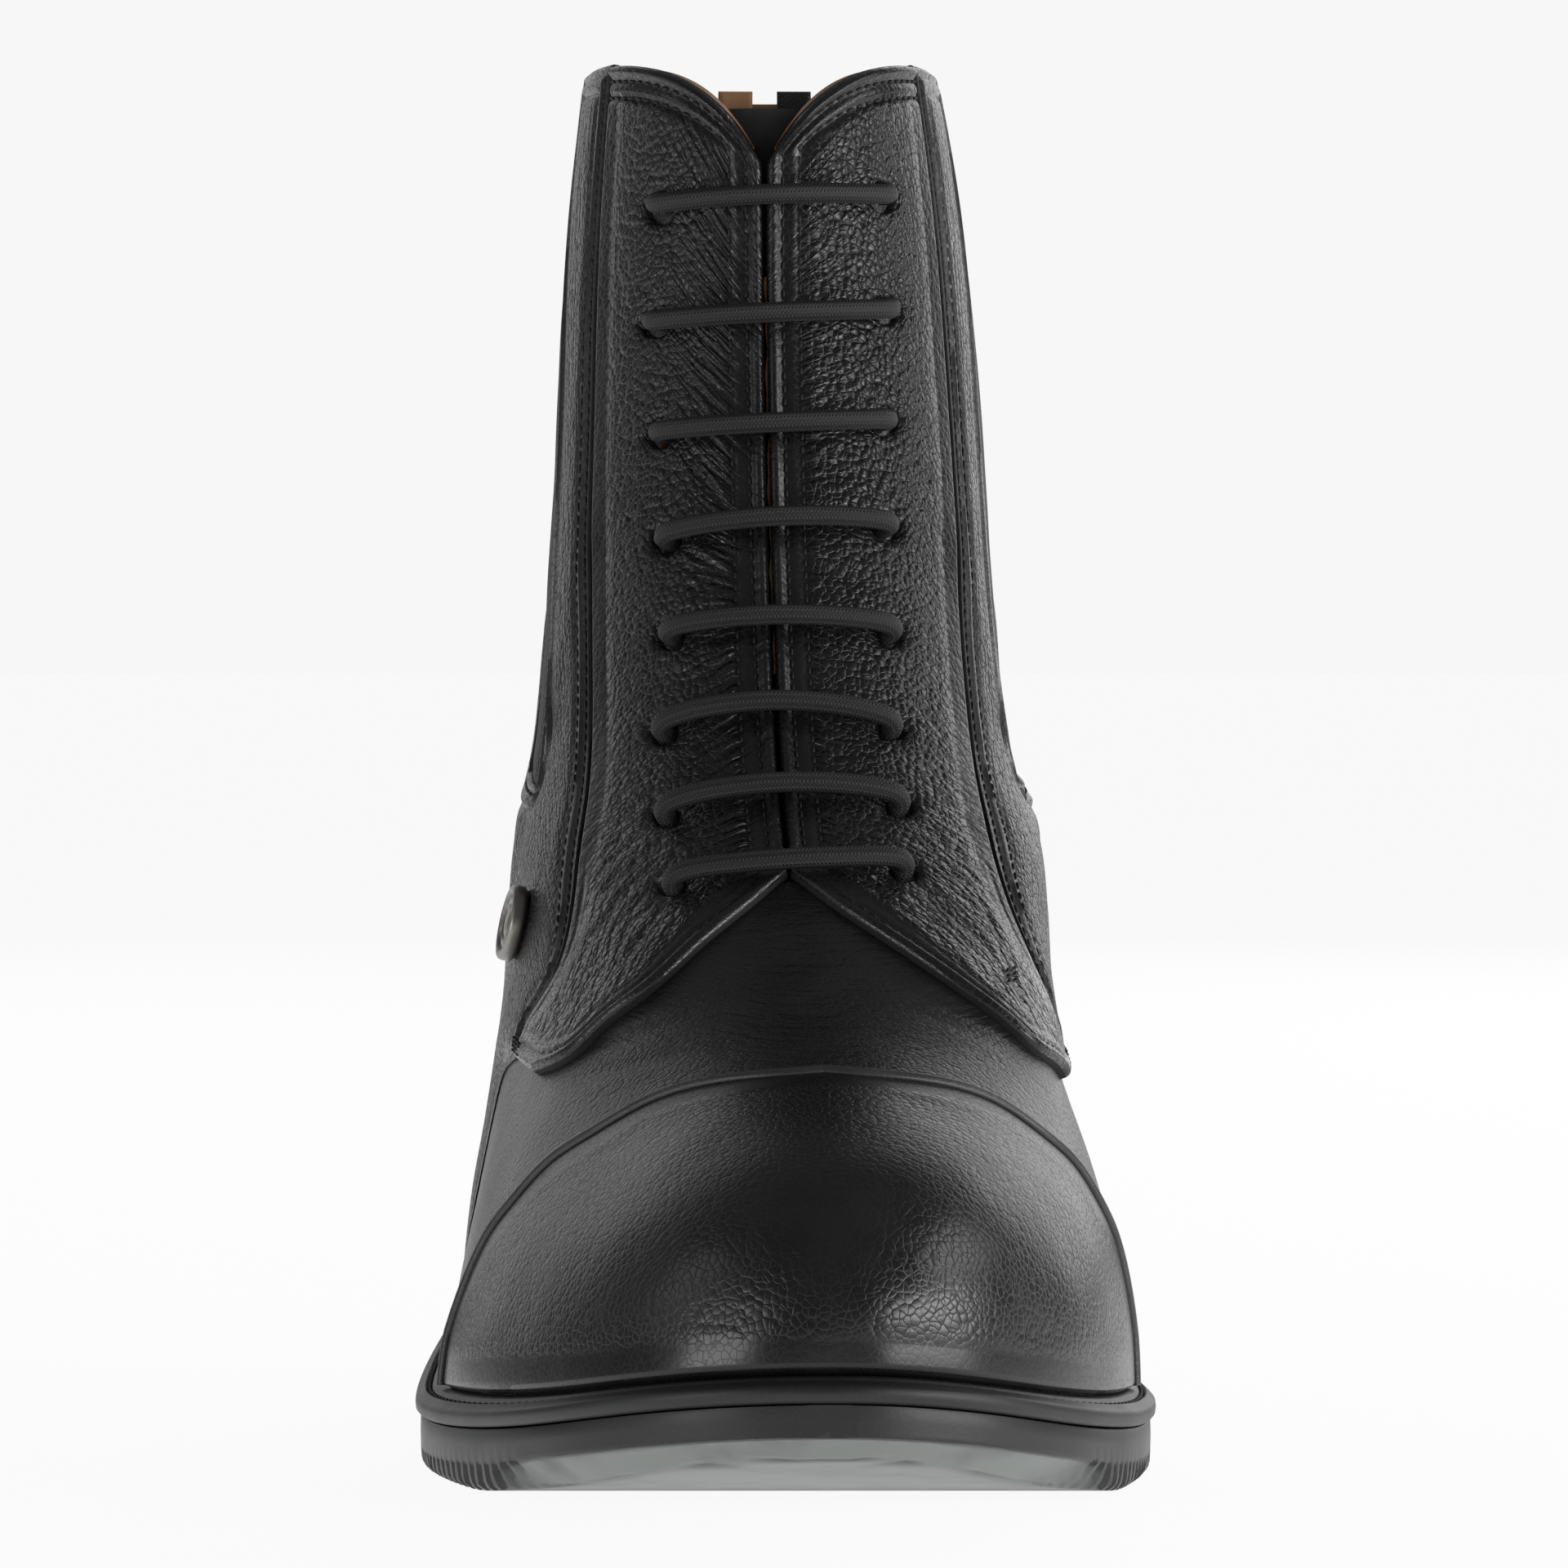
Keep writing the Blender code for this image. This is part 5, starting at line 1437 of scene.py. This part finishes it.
def sole_stations(front, back):
    """Spots along the sole with the depth of its ribs there."""
    toe = front + np.linspace(0, 1, END_STEPS) ** 2 * (RIB_START - front)
    stations = [(y, 0.0) for y in toe[:-1]]
    for y in np.arange(RIB_START, RIB_END, RIB_PITCH / RIB_STEPS):
        turn = (y - RIB_START) / RIB_PITCH % 1.0
        stations.append((y, float(ease(abs(turn - 0.5), 0.18, 0.14))))
    stations += [(y, 0.0) for y in np.linspace(RIB_END, BREAST_Y - BREAST_STEP, WAIST_STEPS)]
    heel = back - (1 - np.linspace(0, 1, END_STEPS)) ** 2 * (back - BREAST_Y - BREAST_STEP)
    return stations + [(y, 0.0) for y in heel]


SOLE_OFFSETS = (0.1, 0.35, 0.8, 1.5, 2.4, 3.4, 4.4, 5.2, 5.8, 6.6, 9.0, 14.0)
TOE_BEVEL = 4.6
TOE_GROOVE = 0.5
BEVEL_RAISE = 0.6
LINE_WIDTH = 0.45
SIDE_LIP = 0.5
SIDE_SWELL = 0.05
RIM_TURN = 0.8


def sole_half(y, groove, edge, side, rim_tree):
    """Spots of one half of the sole, from the top middle round to the tread, with how much painted reflection
    of the pale floor each carries.
    """
    edge_x = float(outline_x(edge, y))
    middle = float(foot_centre(y))
    reach = abs(edge_x - middle)
    top = float(sole_top(y)) - GAP
    tread = tread_height(y)
    heel = float(ease(y, BREAST_Y, HEEL_TURN)) if y > BREAST_Y else 0.0
    toe = 1.0 - float(ease(y, BEVEL_END - BEVEL_INSET, 2 * BEVEL_INSET))
    low = max(top - SIDEWALL + BEVEL_RAISE * toe, tread + TREAD_EDGE)
    inset = EDGE_INSET + TOE_BEVEL * toe + HEEL_INSET * heel
    rim = tread + TREAD_EDGE * (1 - heel) * (1 - toe)
    cut = RIB_DEPTH * groove
    lip = min(SIDE_LIP, (top - low) / 4)
    spots = [
        (reach * 0.5, top, 0.0), (reach - 1.2, top, 0.0), (reach - 0.25, top - 0.08, 0.0),
        (reach, top - lip, 0.0), (reach + SIDE_SWELL, (top + low) / 2, 0.0), (reach, low + lip, 0.0),
        (reach - 0.2 * cut, low + 0.1, 0.0),
    ]
    squeeze = min(1.0, 0.85 * reach / SOLE_OFFSETS[-1])
    for offset in [squeeze * offset for offset in SOLE_OFFSETS] + [0.9 * reach]:
        x = reach - offset
        depth = rim_tree.find((middle + side * x, y, 0.0))[2]
        height = low + (rim - low) * min(depth / inset, 1.0)
        height += (tread - rim) * float(ease(depth, inset, RIM_TURN))
        line = toe * float(bump(depth - inset - LINE_WIDTH, LINE_WIDTH))
        near = 1 - float(ease(offset, 0.5, 1.5))
        # Painted floor reflection on the toe bevel, left out along its groove line.
        wear_and_reflection = toe * float(ease(depth, 0.35, 0.4)) * (1 - line)
        spots.append((x - cut * near, height + TOE_GROOVE * line + 0.5 * cut * near * (1 - toe), wear_and_reflection))
    return [(middle + side * max(x, 0.02), y, z, wear_and_reflection) for x, z, wear_and_reflection in spots]


def make_outsole():
    """Moulded sole with ribbed edge, toe bevel and heel."""
    outer_edge, inner_edge = offset_outline(sole_overhang)
    rim = np.concatenate([outer_edge, inner_edge])
    rim_tree = nearest_tree(np.pad(rim, ((0, 0), (0, 1))))
    sections = []
    for y, groove in sole_stations(*outline_ends(outer_edge, inner_edge)):
        inner = sole_half(y, groove, inner_edge, INNER, rim_tree)
        outer = sole_half(y, groove, outer_edge, OUTER, rim_tree)
        sections.append(inner + outer[::-1])
    return settle(loft("outsole_rubber", sections, "sole_rubber", False), "outsole")


def loft(name, sections, finish, ring, sharp=38.0):
    """Closed body through closed sections, whose spots may carry a share of painted floor reflection after
    their place.
    """
    sections = np.asarray(sections, float)
    # Fourth value of a spot: its share of painted floor reflection.
    floor_reflection = sections[..., 3:]
    sections = sections[..., :3]
    count, size = sections.shape[:2]
    points = sections.reshape(-1, 3)
    steps = np.arange(count if ring else count - 1)
    here = np.repeat(steps * size, size)
    there = np.repeat((steps + 1) % count * size, size)
    k = np.tile(np.arange(size), len(steps))
    after = (k + 1) % size
    faces = np.stack([here + k, here + after, there + after, there + k], 1)
    if not ring:
        hub = len(points)
        points = np.concatenate([points, sections[[0, -1]].mean(axis=1)])
        last = (count - 1) * size
        ends = []
        for j in range(0, size, 2):
            ends.append((hub, (j + 2) % size, j + 1, j))
            ends.append((hub + 1, last + j, last + j + 1, last + (j + 2) % size))
        faces = np.concatenate([faces, np.array(ends)])
    corner = points[faces]
    normal = np.cross(corner[:, 2] - corner[:, 0], corner[:, 3] - corner[:, 1])
    volume = np.sum(normal * (corner.mean(1) - points.mean(0)))
    faces = faces[:, ::-1] if volume < 0 else faces
    flow = None
    if floor_reflection.size:
        flow = np.zeros((len(points), 3))
        flow[:count * size, 2] = floor_reflection.ravel()
    return make_piece(name, points, faces, [finish_named(finish)], flow=flow, sharp=sharp)


WELT_LEVEL = 0.5
WELT_RIM = 0.7
WELT_EDGE = 2.3
WELT_COLUMNS = 420
GROOVE_DEPTH = 0.7
GROOVE_WIDTH = 1.3
GROOVE_PLACE = 0.52


def welt_frame(angle):
    """Foot of the upper, its outward direction and the outer edge of the welt, round the boot."""
    foot = boot_point(0.0, angle)
    out = unit(boot_normal(0.0, angle) * (1, 1, 0))
    overhang = sole_overhang(foot[:, 1]) + WELT_RIM
    edge = foot + overhang[:, None] * out
    edge[:, 2] = sole_top(edge[:, 1])
    return foot, out, edge


def make_welt():
    """Rounded rim with a stitch groove, round the upper on top of the sole."""
    angle = np.linspace(-math.pi, math.pi, WELT_COLUMNS + 1)[:-1]
    foot, out, edge = welt_frame(angle)
    rise = np.array((0.0, 0.0, 1.0))
    inner_top = boot_point(WELT_LEVEL, angle) + 0.1 * boot_normal(WELT_LEVEL, angle)
    edge_top = edge + WELT_EDGE * rise
    slope = edge_top - inner_top
    half = unit(slope) * GROOVE_WIDTH / 2
    place = inner_top + slope * GROOVE_PLACE
    under = edge - 0.6 * out
    under[:, 2] = sole_top(under[:, 1]) - 0.1
    floor = GROOVE_DEPTH * rise
    lip = 0.1 * rise
    inner_side = [foot - 0.2 * out, inner_top - 0.2 * out, inner_top + 0.12 * slope]
    groove = [
        place - 1.3 * half + lip, place - half, place - 0.35 * half - floor,
        place + 0.35 * half - floor, place + half, place + 1.3 * half + lip,
    ]
    outer_side = [
        edge_top - 0.75 * out, edge_top - 0.3 * out - lip, edge_top - 0.45 * rise,
        edge + (WELT_EDGE * 0.5) * rise + 0.08 * out, edge + 0.45 * rise, edge - 0.3 * out + lip, under,
    ]
    sections = np.stack(inner_side + groove + outer_side, axis=1)
    return settle(loft("welt_rubber", sections, "welt_rubber", True, sharp=60.0), "welt")


INSOLE_THICK = 4.0
INSOLE_CLEAR = 0.8
INSOLE_STEPS = 120
INSOLE_EDGE = 1.2
INSOLE_HOLLOW = 0.5


def make_insole():
    """Tan footbed inside the upper."""
    outer_edge, inner_edge = offset_outline(lambda y: np.full(len(y), -WALL - INSOLE_CLEAR))
    front, back = outline_ends(outer_edge, inner_edge)
    turn = (1 - np.cos(np.linspace(0, math.pi, INSOLE_STEPS))) / 2
    sections = []
    for y in front + turn * (back - front):
        left = float(outline_x(outer_edge, y))
        right = float(outline_x(inner_edge, y))
        middle = (left + right) / 2
        half = (right - left) / 2
        low = float(sole_top(y))
        top = low + INSOLE_THICK
        edge = min(INSOLE_EDGE, half / 3)
        across = [
            (1.0, low), (1.0, top - edge), (1 - 0.3 * edge / half, top - 0.3 * edge), (1 - edge / half, top),
        ]
        across += [(share, top - INSOLE_HOLLOW * (1 - share ** 2)) for share in (0.75, 0.5, 0.25)]
        right_side = [(middle + share * half, y, z) for share, z in across]
        left_side = [(middle - share * half, y, z) for share, z in across]
        sections.append(right_side + left_side[::-1])
    return settle(loft("insole_leather", sections, "lining", False), "insole")


# Height of the threads' middle on the panels, on top and down in a furrow
TACK_RISE = PANEL_TOP + 0.1
THREAD_RISE = TACK_RISE - STITCH_SINK
ROW_STEPS = 160
SEAM_START = 4.7
SEAM_END = 14.85
GORE_STITCH = 1.6
SILL_DROP = 0.17
LOWER_ROW = (4.6, 7.05)
CAP_STITCH = 1.0
TACK_STEP = 0.05
# Locked seam ends: level, girth, rows and width
Tack = namedtuple("Tack", "level girth rows width")
TACKS = (
    Tack(4.62, -99.0, 4, 5.0),
    Tack(4.62, 91.0, 4, 5.0),
    Tack(6.05, 41.0, 3, 3.0),
)
WELT_STITCH_PITCH = 2.6
WELT_STITCH_LENGTH = 1.9
WELT_THREAD = 0.75


def stitch_tree():
    """Node tree that lays stitches along lines, in the plane of the leather."""
    tree = bpy.data.node_groups.new("stitch rows", "GeometryNodeTree")
    ports = {}
    for name, kind in (
        ("Lines", "NodeSocketGeometry"), ("Pitch", "NodeSocketFloat"), ("Length", "NodeSocketFloat"),
        ("Thickness", "NodeSocketFloat"), ("Thread", "NodeSocketMaterial"),
    ):
        ports[name] = tree.interface.new_socket(name, in_out="INPUT", socket_type=kind).identifier
    tree.interface.new_socket("Stitches", in_out="OUTPUT", socket_type="NodeSocketGeometry")
    start = tree.nodes.new("NodeGroupInput").outputs
    curve = add_node(tree, "GeometryNodeMeshToCurve", {"Mesh": start["Lines"]}).outputs[0]
    inputs = {"Curve": curve, "Length": start["Pitch"]}
    spots = add_node(tree, "GeometryNodeResampleCurve", inputs, mode="LENGTH").outputs[0]
    tangent = tree.nodes.new("GeometryNodeInputTangent").outputs[0]
    named = add_node(tree, "GeometryNodeInputNamedAttribute", {"Name": "out"}, data_type="FLOAT_VECTOR")
    turn = add_node(tree, "FunctionNodeAlignRotationToVector", {"Vector": tangent}, axis="X").outputs[0]
    inputs = {"Rotation": turn, "Vector": named.outputs[0]}
    turn = add_node(tree, "FunctionNodeAlignRotationToVector", inputs, axis="Z", pivot_axis="X").outputs[0]
    stitch = add_node(tree, "GeometryNodeMeshUVSphere", {"Segments": 6, "Rings": 5, "Radius": 0.5}).outputs[0]
    inputs = {0: start["Length"], 1: start["Thickness"], 2: start["Thickness"]}
    size = add_node(tree, "ShaderNodeCombineXYZ", inputs).outputs[0]
    inputs = {"Points": spots, "Instance": stitch, "Rotation": turn, "Scale": size}
    laid = add_node(tree, "GeometryNodeInstanceOnPoints", inputs).outputs[0]
    real = add_node(tree, "GeometryNodeRealizeInstances", {"Geometry": laid}).outputs[0]
    smooth = add_node(tree, "GeometryNodeSetShadeSmooth", {0: real}).outputs[0]
    inputs = {"Geometry": smooth, "Material": start["Thread"]}
    dressed = add_node(tree, "GeometryNodeSetMaterial", inputs).outputs[0]
    end = tree.nodes.new("NodeGroupOutput")
    tree.links.new(dressed, end.inputs[0])
    return tree, ports


def bake_modifiers(piece):
    """Turn a piece with its modifiers into a plain mesh."""
    depsgraph = bpy.context.evaluated_depsgraph_get()
    depsgraph.update()
    mesh = bpy.data.meshes.new_from_object(
        piece.evaluated_get(depsgraph), preserve_all_data_layers=True, depsgraph=depsgraph,
    )
    piece.modifiers.clear()
    mesh.name = piece.name
    piece.data = mesh


def sew(name, rows, pitch, length, thickness):
    """Stitches along rows of (places, outward directions), as one plain mesh."""
    tree, ports = stitch_tree()
    places, outs = map(np.concatenate, zip(*rows))
    edges = []
    base = 0
    for place, _ in rows:
        edges += [(base + i, base + i + 1) for i in range(len(place) - 1)]
        base += len(place)
    mesh = bpy.data.meshes.new(name)
    mesh.from_pydata(metres(places).tolist(), edges, [])
    field = mesh.attributes.new("out", "FLOAT_VECTOR", "POINT")
    field.data.foreach_set("vector", outs.astype(np.float32).ravel())
    piece = show(name, mesh)
    step = piece.modifiers.new("stitches", "NODES")
    step.node_group = tree
    for port, size in (("Pitch", pitch), ("Length", length), ("Thickness", thickness)):
        step[ports[port]] = size * MM
    step[ports["Thread"]] = finish_named("thread")
    bake_modifiers(piece)
    return settle(piece)


def beside(level, girth, distance=0.0, rise=THREAD_RISE):
    """Row of places at a distance beside a way on the upper, and the outward directions there."""
    place, out, across = way_frames(np.asarray(level, float), np.asarray(girth, float))
    return place + across * distance + out * rise, out


def facing_rows(side):
    """Stitch rows of one facing: beside the slit, along the collar and along the lower edge."""
    rows = []
    for distance in FACING_FURROWS:
        away = FACING_SLIT_HALF + distance
        under_collar = TOP_LEVEL - distance / LEVEL_HEIGHT
        level = np.linspace(FACING_EDGE[-1].level + 0.07 * distance, under_collar, ROW_STEPS)
        girth = np.linspace(away, float(side_seam[side](TOP_LEVEL)) - 1.0, 60)
        rows.append(beside(dipped(level, away), side * away))
        rows.append(beside(dipped(under_collar, girth), side * girth))
    level = np.linspace(*LOWER_ROW, 130)
    rows.append(beside(level, side * facing_edge[side](level), -side * LOWER_FURROW))
    return rows


def quarter_rows(side):
    """Stitch rows of one side of the quarters: side seam, gore window and collar."""
    rows = []
    level = np.linspace(SEAM_START, SEAM_END, 260)
    for distance in QUARTER_FURROWS:
        rows.append(beside(level, side * (side_seam[side](level) + SEAM_GAP / 2), -side * distance))
    level = np.linspace(GORE_SILL, SEAM_END, ROW_STEPS)
    rows.append(beside(level, side * gore_front(level), side * GORE_STITCH))
    rows.append(beside(level, side * gore_back(level), -side * GORE_STITCH))
    girth = np.linspace(GORES[0].front, GORES[0].back, 40)
    rows.append(beside(GORE_SILL - SILL_DROP, side * girth))
    for distance in QUARTER_FURROWS:
        under_collar = TOP_LEVEL - distance / LEVEL_HEIGHT
        back = float(half_girth(under_collar, side))
        girth = np.linspace(float(gore_back(under_collar)) + 2, back - 0.5, 80)
        rows.append(beside(under_collar, side * girth))
    return rows


def tack_rows(tack):
    """Short rows of close stitches that lock the end of a seam."""
    girth = tack.girth + np.linspace(-0.5, 0.5, 6) * tack.width
    levels = tack.level + (np.arange(tack.rows) - tack.rows / 2) * TACK_STEP
    return [beside(level, girth, rise=TACK_RISE) for level in levels]


def make_stitches(sizes):
    """All threads of the upper and the welt."""
    rows = []
    for side in SIDES:
        rows += facing_rows(side)
        rows += quarter_rows(side)
    rows.append(beside(*cap_way(220), BEAD_WIDTH / 2 + CAP_STITCH, 0.05))
    for tack in TACKS:
        rows += tack_rows(tack)
    sew("upper_stitches", rows, sizes.stitch_pitch, sizes.stitch_length, sizes.thread)
    angle = np.linspace(-math.pi, math.pi, 900)
    edge = welt_frame(angle)[2]
    inner_top = boot_point(WELT_LEVEL, angle)
    place = inner_top + (edge + (0, 0, WELT_EDGE) - inner_top) * GROOVE_PLACE - (0, 0, GROOVE_DEPTH - 0.3)
    up = np.repeat(np.array([(0.0, 0.0, 1.0)]), len(angle), axis=0)
    sew("welt_stitches", [(place, up)], WELT_STITCH_PITCH, WELT_STITCH_LENGTH, WELT_THREAD)


# Camera and studio, in metres
CAMERA_PLACE = (0.0, -1.5975, 0.131)
CAMERA_DOWN = 1.285
CAMERA_LENS = 253.2
SENSOR = 36.0
FLOOR_RADIUS = 9.0
FLOOR_SIDES = 96
WHITE = (1.0, 1.0, 1.0, 1.0)
PALE = 0.93
ROOM_TINT = (0.98, 0.99, 1.0, 1.0)
ROOM_LIGHT = 0.13
SoftBox = namedtuple("SoftBox", "name place aim width height power")
SOFT_BOXES = (
    SoftBox("left_low", (-1.30, -0.88, 0.27), (0.0, -0.08, 0.08), 0.85, 0.24, 3.6),
    SoftBox("left_high", (-1.42, -0.10, 0.80), (0.0, -0.02, 0.1), 0.60, 0.60, 1.0),
    SoftBox("right_low", (1.40, -0.68, 0.26), (0.0, -0.08, 0.08), 1.50, 0.27, 12.0),
    SoftBox("right_high", (1.41, 0.10, 0.80), (0.0, -0.02, 0.1), 0.80, 0.60, 4.0),
    SoftBox("behind_left", (-0.70, 1.70, 0.62), (0.0, 0.0, 0.4), 1.30, 1.00, 2.6),
    SoftBox("behind_right", (0.70, 1.70, 0.62), (0.0, 0.0, 0.4), 1.30, 1.00, 6.0),
)


def make_floor(colours):
    """Wide pale floor that gives its own light, so that only faint shadows fall on it."""
    material, tree, shader, place = start_material("studio_floor")
    pale = tuple(colours.floor)
    grit = cloudy(tree, place, 40.0, 3.0)
    fill(tree, shader, {
        "Base Color": blend_colours(tree, grit, pale, mix(pale, 0.985)), "Roughness": 0.9,
        "Emission Color": WHITE, "Emission Strength": PALE,
    })
    turn = np.arange(FLOOR_SIDES) * 2 * math.pi / FLOOR_SIDES
    rim = FLOOR_RADIUS * np.stack([np.cos(turn), np.sin(turn), np.zeros(FLOOR_SIDES)], -1)
    mesh = bpy.data.meshes.new("studio_floor")
    mesh.from_pydata(rim.tolist(), [], [tuple(range(FLOOR_SIDES))])
    mesh.materials.append(material)
    show("studio_floor", mesh)


def make_world():
    """Dim even room light with a pale backdrop."""
    world = bpy.data.worlds.new("studio")
    world.use_nodes = True
    tree = world.node_tree
    room = fill(tree, tree.nodes["Background"], {"Color": ROOM_TINT, "Strength": ROOM_LIGHT})
    backdrop = add_node(tree, "ShaderNodeBackground", {"Color": WHITE, "Strength": PALE})
    seen = add_node(tree, "ShaderNodeLightPath").outputs["Is Camera Ray"]
    either = add_node(tree, "ShaderNodeMixShader", {0: seen, 1: room.outputs[0], 2: backdrop.outputs[0]})
    fill(tree, tree.nodes["World Output"], {"Surface": either.outputs[0]})
    bpy.context.scene.world = world
    bpy.context.scene.view_settings.view_transform = "Standard"


def make_lights():
    """Large soft boxes round the boot."""
    for box in SOFT_BOXES:
        lamp = bpy.data.lights.new(box.name, "AREA")
        lamp.shape = "RECTANGLE"
        lamp.size = box.width
        lamp.size_y = box.height
        lamp.energy = box.power
        light = show(box.name, lamp)
        light.location = box.place
        aim = Vector(box.aim) - Vector(box.place)
        light.rotation_euler = aim.to_track_quat("-Z", "Y").to_euler()
        light.visible_camera = False


def make_camera():
    """Low camera straight in front of the toe."""
    lens = bpy.data.cameras.new("front_camera")
    lens.lens = CAMERA_LENS
    lens.sensor_width = SENSOR
    camera = show("front_camera", lens)
    camera.location = CAMERA_PLACE
    camera.rotation_euler = (math.radians(90.0 - CAMERA_DOWN), 0.0, 0.0)
    bpy.context.scene.camera = camera


def size_value(name, description, default):
    """Property of a size."""
    return bpy.props.FloatProperty(name=name, description=description, default=default)


def colour_value(name, description, default):
    """Property of a colour."""
    return bpy.props.FloatVectorProperty(name=name, description=description, subtype="COLOR", default=default)


class BootSizes(bpy.types.PropertyGroup):
    """Sizes that a user would change, in millimetres."""

    stitch_pitch: size_value("Stitch pitch", "From one stitch to the next", 2.1)
    stitch_length: size_value("Stitch length", "Seen length of a stitch", 1.65)
    thread: size_value("Thread", "Thickness of the thread", 0.5)


class BootColours(bpy.types.PropertyGroup):
    """Colours that a user would change."""

    leather: colour_value("Leather", "Leather, cord and thread", (0.0070, 0.0070, 0.0073))
    lining: colour_value("Lining", "Lining and footbed", (0.36, 0.19, 0.08))
    rubber: colour_value("Rubber", "Sole and welt", (0.0165, 0.018, 0.017))
    metal: colour_value("Metal", "Side disc", (0.30, 0.29, 0.265))
    floor: colour_value("Floor", "Studio floor", (0.006, 0.006, 0.006))


class BOOT_OT_stage(bpy.types.Operator):
    """Camera, soft boxes, floor and backdrop."""

    bl_idname = "boot.stage"
    bl_label = "Set the studio"

    def execute(self, context):
        make_camera()
        make_lights()
        make_world()
        make_floor(context.scene.boot_colours)
        return {"FINISHED"}


class BOOT_OT_finishes(bpy.types.Operator):
    """Leather, rubber, cloth, thread and metal surfaces."""

    bl_idname = "boot.finishes"
    bl_label = "Mix the finishes"

    def execute(self, context):
        make_finishes(context.scene.boot_colours)
        return {"FINISHED"}


class BOOT_OT_sole(bpy.types.Operator):
    """Outsole, welt and footbed."""

    bl_idname = "boot.sole"
    bl_label = "Mould the sole"

    def execute(self, context):
        make_outsole()
        make_welt()
        make_insole()
        return {"FINISHED"}


class BOOT_OT_upper(bpy.types.Operator):
    """Hollow shell with vamp and lining, and the tongue."""

    bl_idname = "boot.upper"
    bl_label = "Last the upper"

    def execute(self, context):
        make_upper()
        make_tongue()
        make_slit_lining()
        return {"FINISHED"}


class BOOT_OT_cap(bpy.types.Operator):
    """Toe cap and its bead."""

    bl_idname = "boot.cap"
    bl_label = "Cap the toe"

    def execute(self, context):
        make_toe_cap()
        make_cap_bead()
        return {"FINISHED"}


class BOOT_OT_panels(bpy.types.Operator):
    """Facings, quarters, gores and pull tabs."""

    bl_idname = "boot.panels"
    bl_label = "Lay the panels"

    def execute(self, context):
        make_quarters()
        for side in SIDES:
            make_facing(side)
            make_gore(side)
            make_pull_tab(side)
        return {"FINISHED"}


class BOOT_OT_laces(bpy.types.Operator):
    """Lace bars through the holes."""

    bl_idname = "boot.laces"
    bl_label = "Lace the boot"

    def execute(self, context):
        make_laces()
        return {"FINISHED"}


class BOOT_OT_trim(bpy.types.Operator):
    """Side disc and all stitching."""

    bl_idname = "boot.trim"
    bl_label = "Add disc and stitches"

    def execute(self, context):
        make_side_disc()
        make_stitches(context.scene.boot_sizes)
        return {"FINISHED"}


STEPS = (
    BOOT_OT_stage, BOOT_OT_finishes, BOOT_OT_sole, BOOT_OT_upper, BOOT_OT_cap, BOOT_OT_panels, BOOT_OT_laces,
    BOOT_OT_trim,
)


class BOOT_PT_panel(bpy.types.Panel):
    """Steps of the boot in the sidebar."""

    bl_label = "Boot"
    bl_idname = "BOOT_PT_panel"
    bl_space_type = "VIEW_3D"
    bl_region_type = "UI"
    bl_category = "Boot"

    def draw(self, context):
        for group in (context.scene.boot_sizes, context.scene.boot_colours):
            for name in group.__annotations__:
                self.layout.prop(group, name)
        for step in STEPS:
            self.layout.operator(step.bl_idname)


CLASSES = (BootSizes, BootColours, *STEPS, BOOT_PT_panel)


def register():
    """Make the boot's steps known to Blender."""
    for kind in CLASSES:
        bpy.utils.register_class(kind)
    bpy.types.Scene.boot_sizes = bpy.props.PointerProperty(type=BootSizes)
    bpy.types.Scene.boot_colours = bpy.props.PointerProperty(type=BootColours)


def unregister():
    """Take the boot's steps away again."""
    del bpy.types.Scene.boot_colours
    del bpy.types.Scene.boot_sizes
    for kind in reversed(CLASSES):
        bpy.utils.unregister_class(kind)


def main():
    """Dress the boot."""
    register()
    bpy.ops.boot.stage()
    bpy.ops.boot.finishes()
    bpy.ops.boot.sole()
    bpy.ops.boot.upper()
    bpy.ops.boot.cap()
    bpy.ops.boot.panels()
    bpy.ops.boot.laces()
    bpy.ops.boot.trim()


if __name__ == "__main__":
    main()
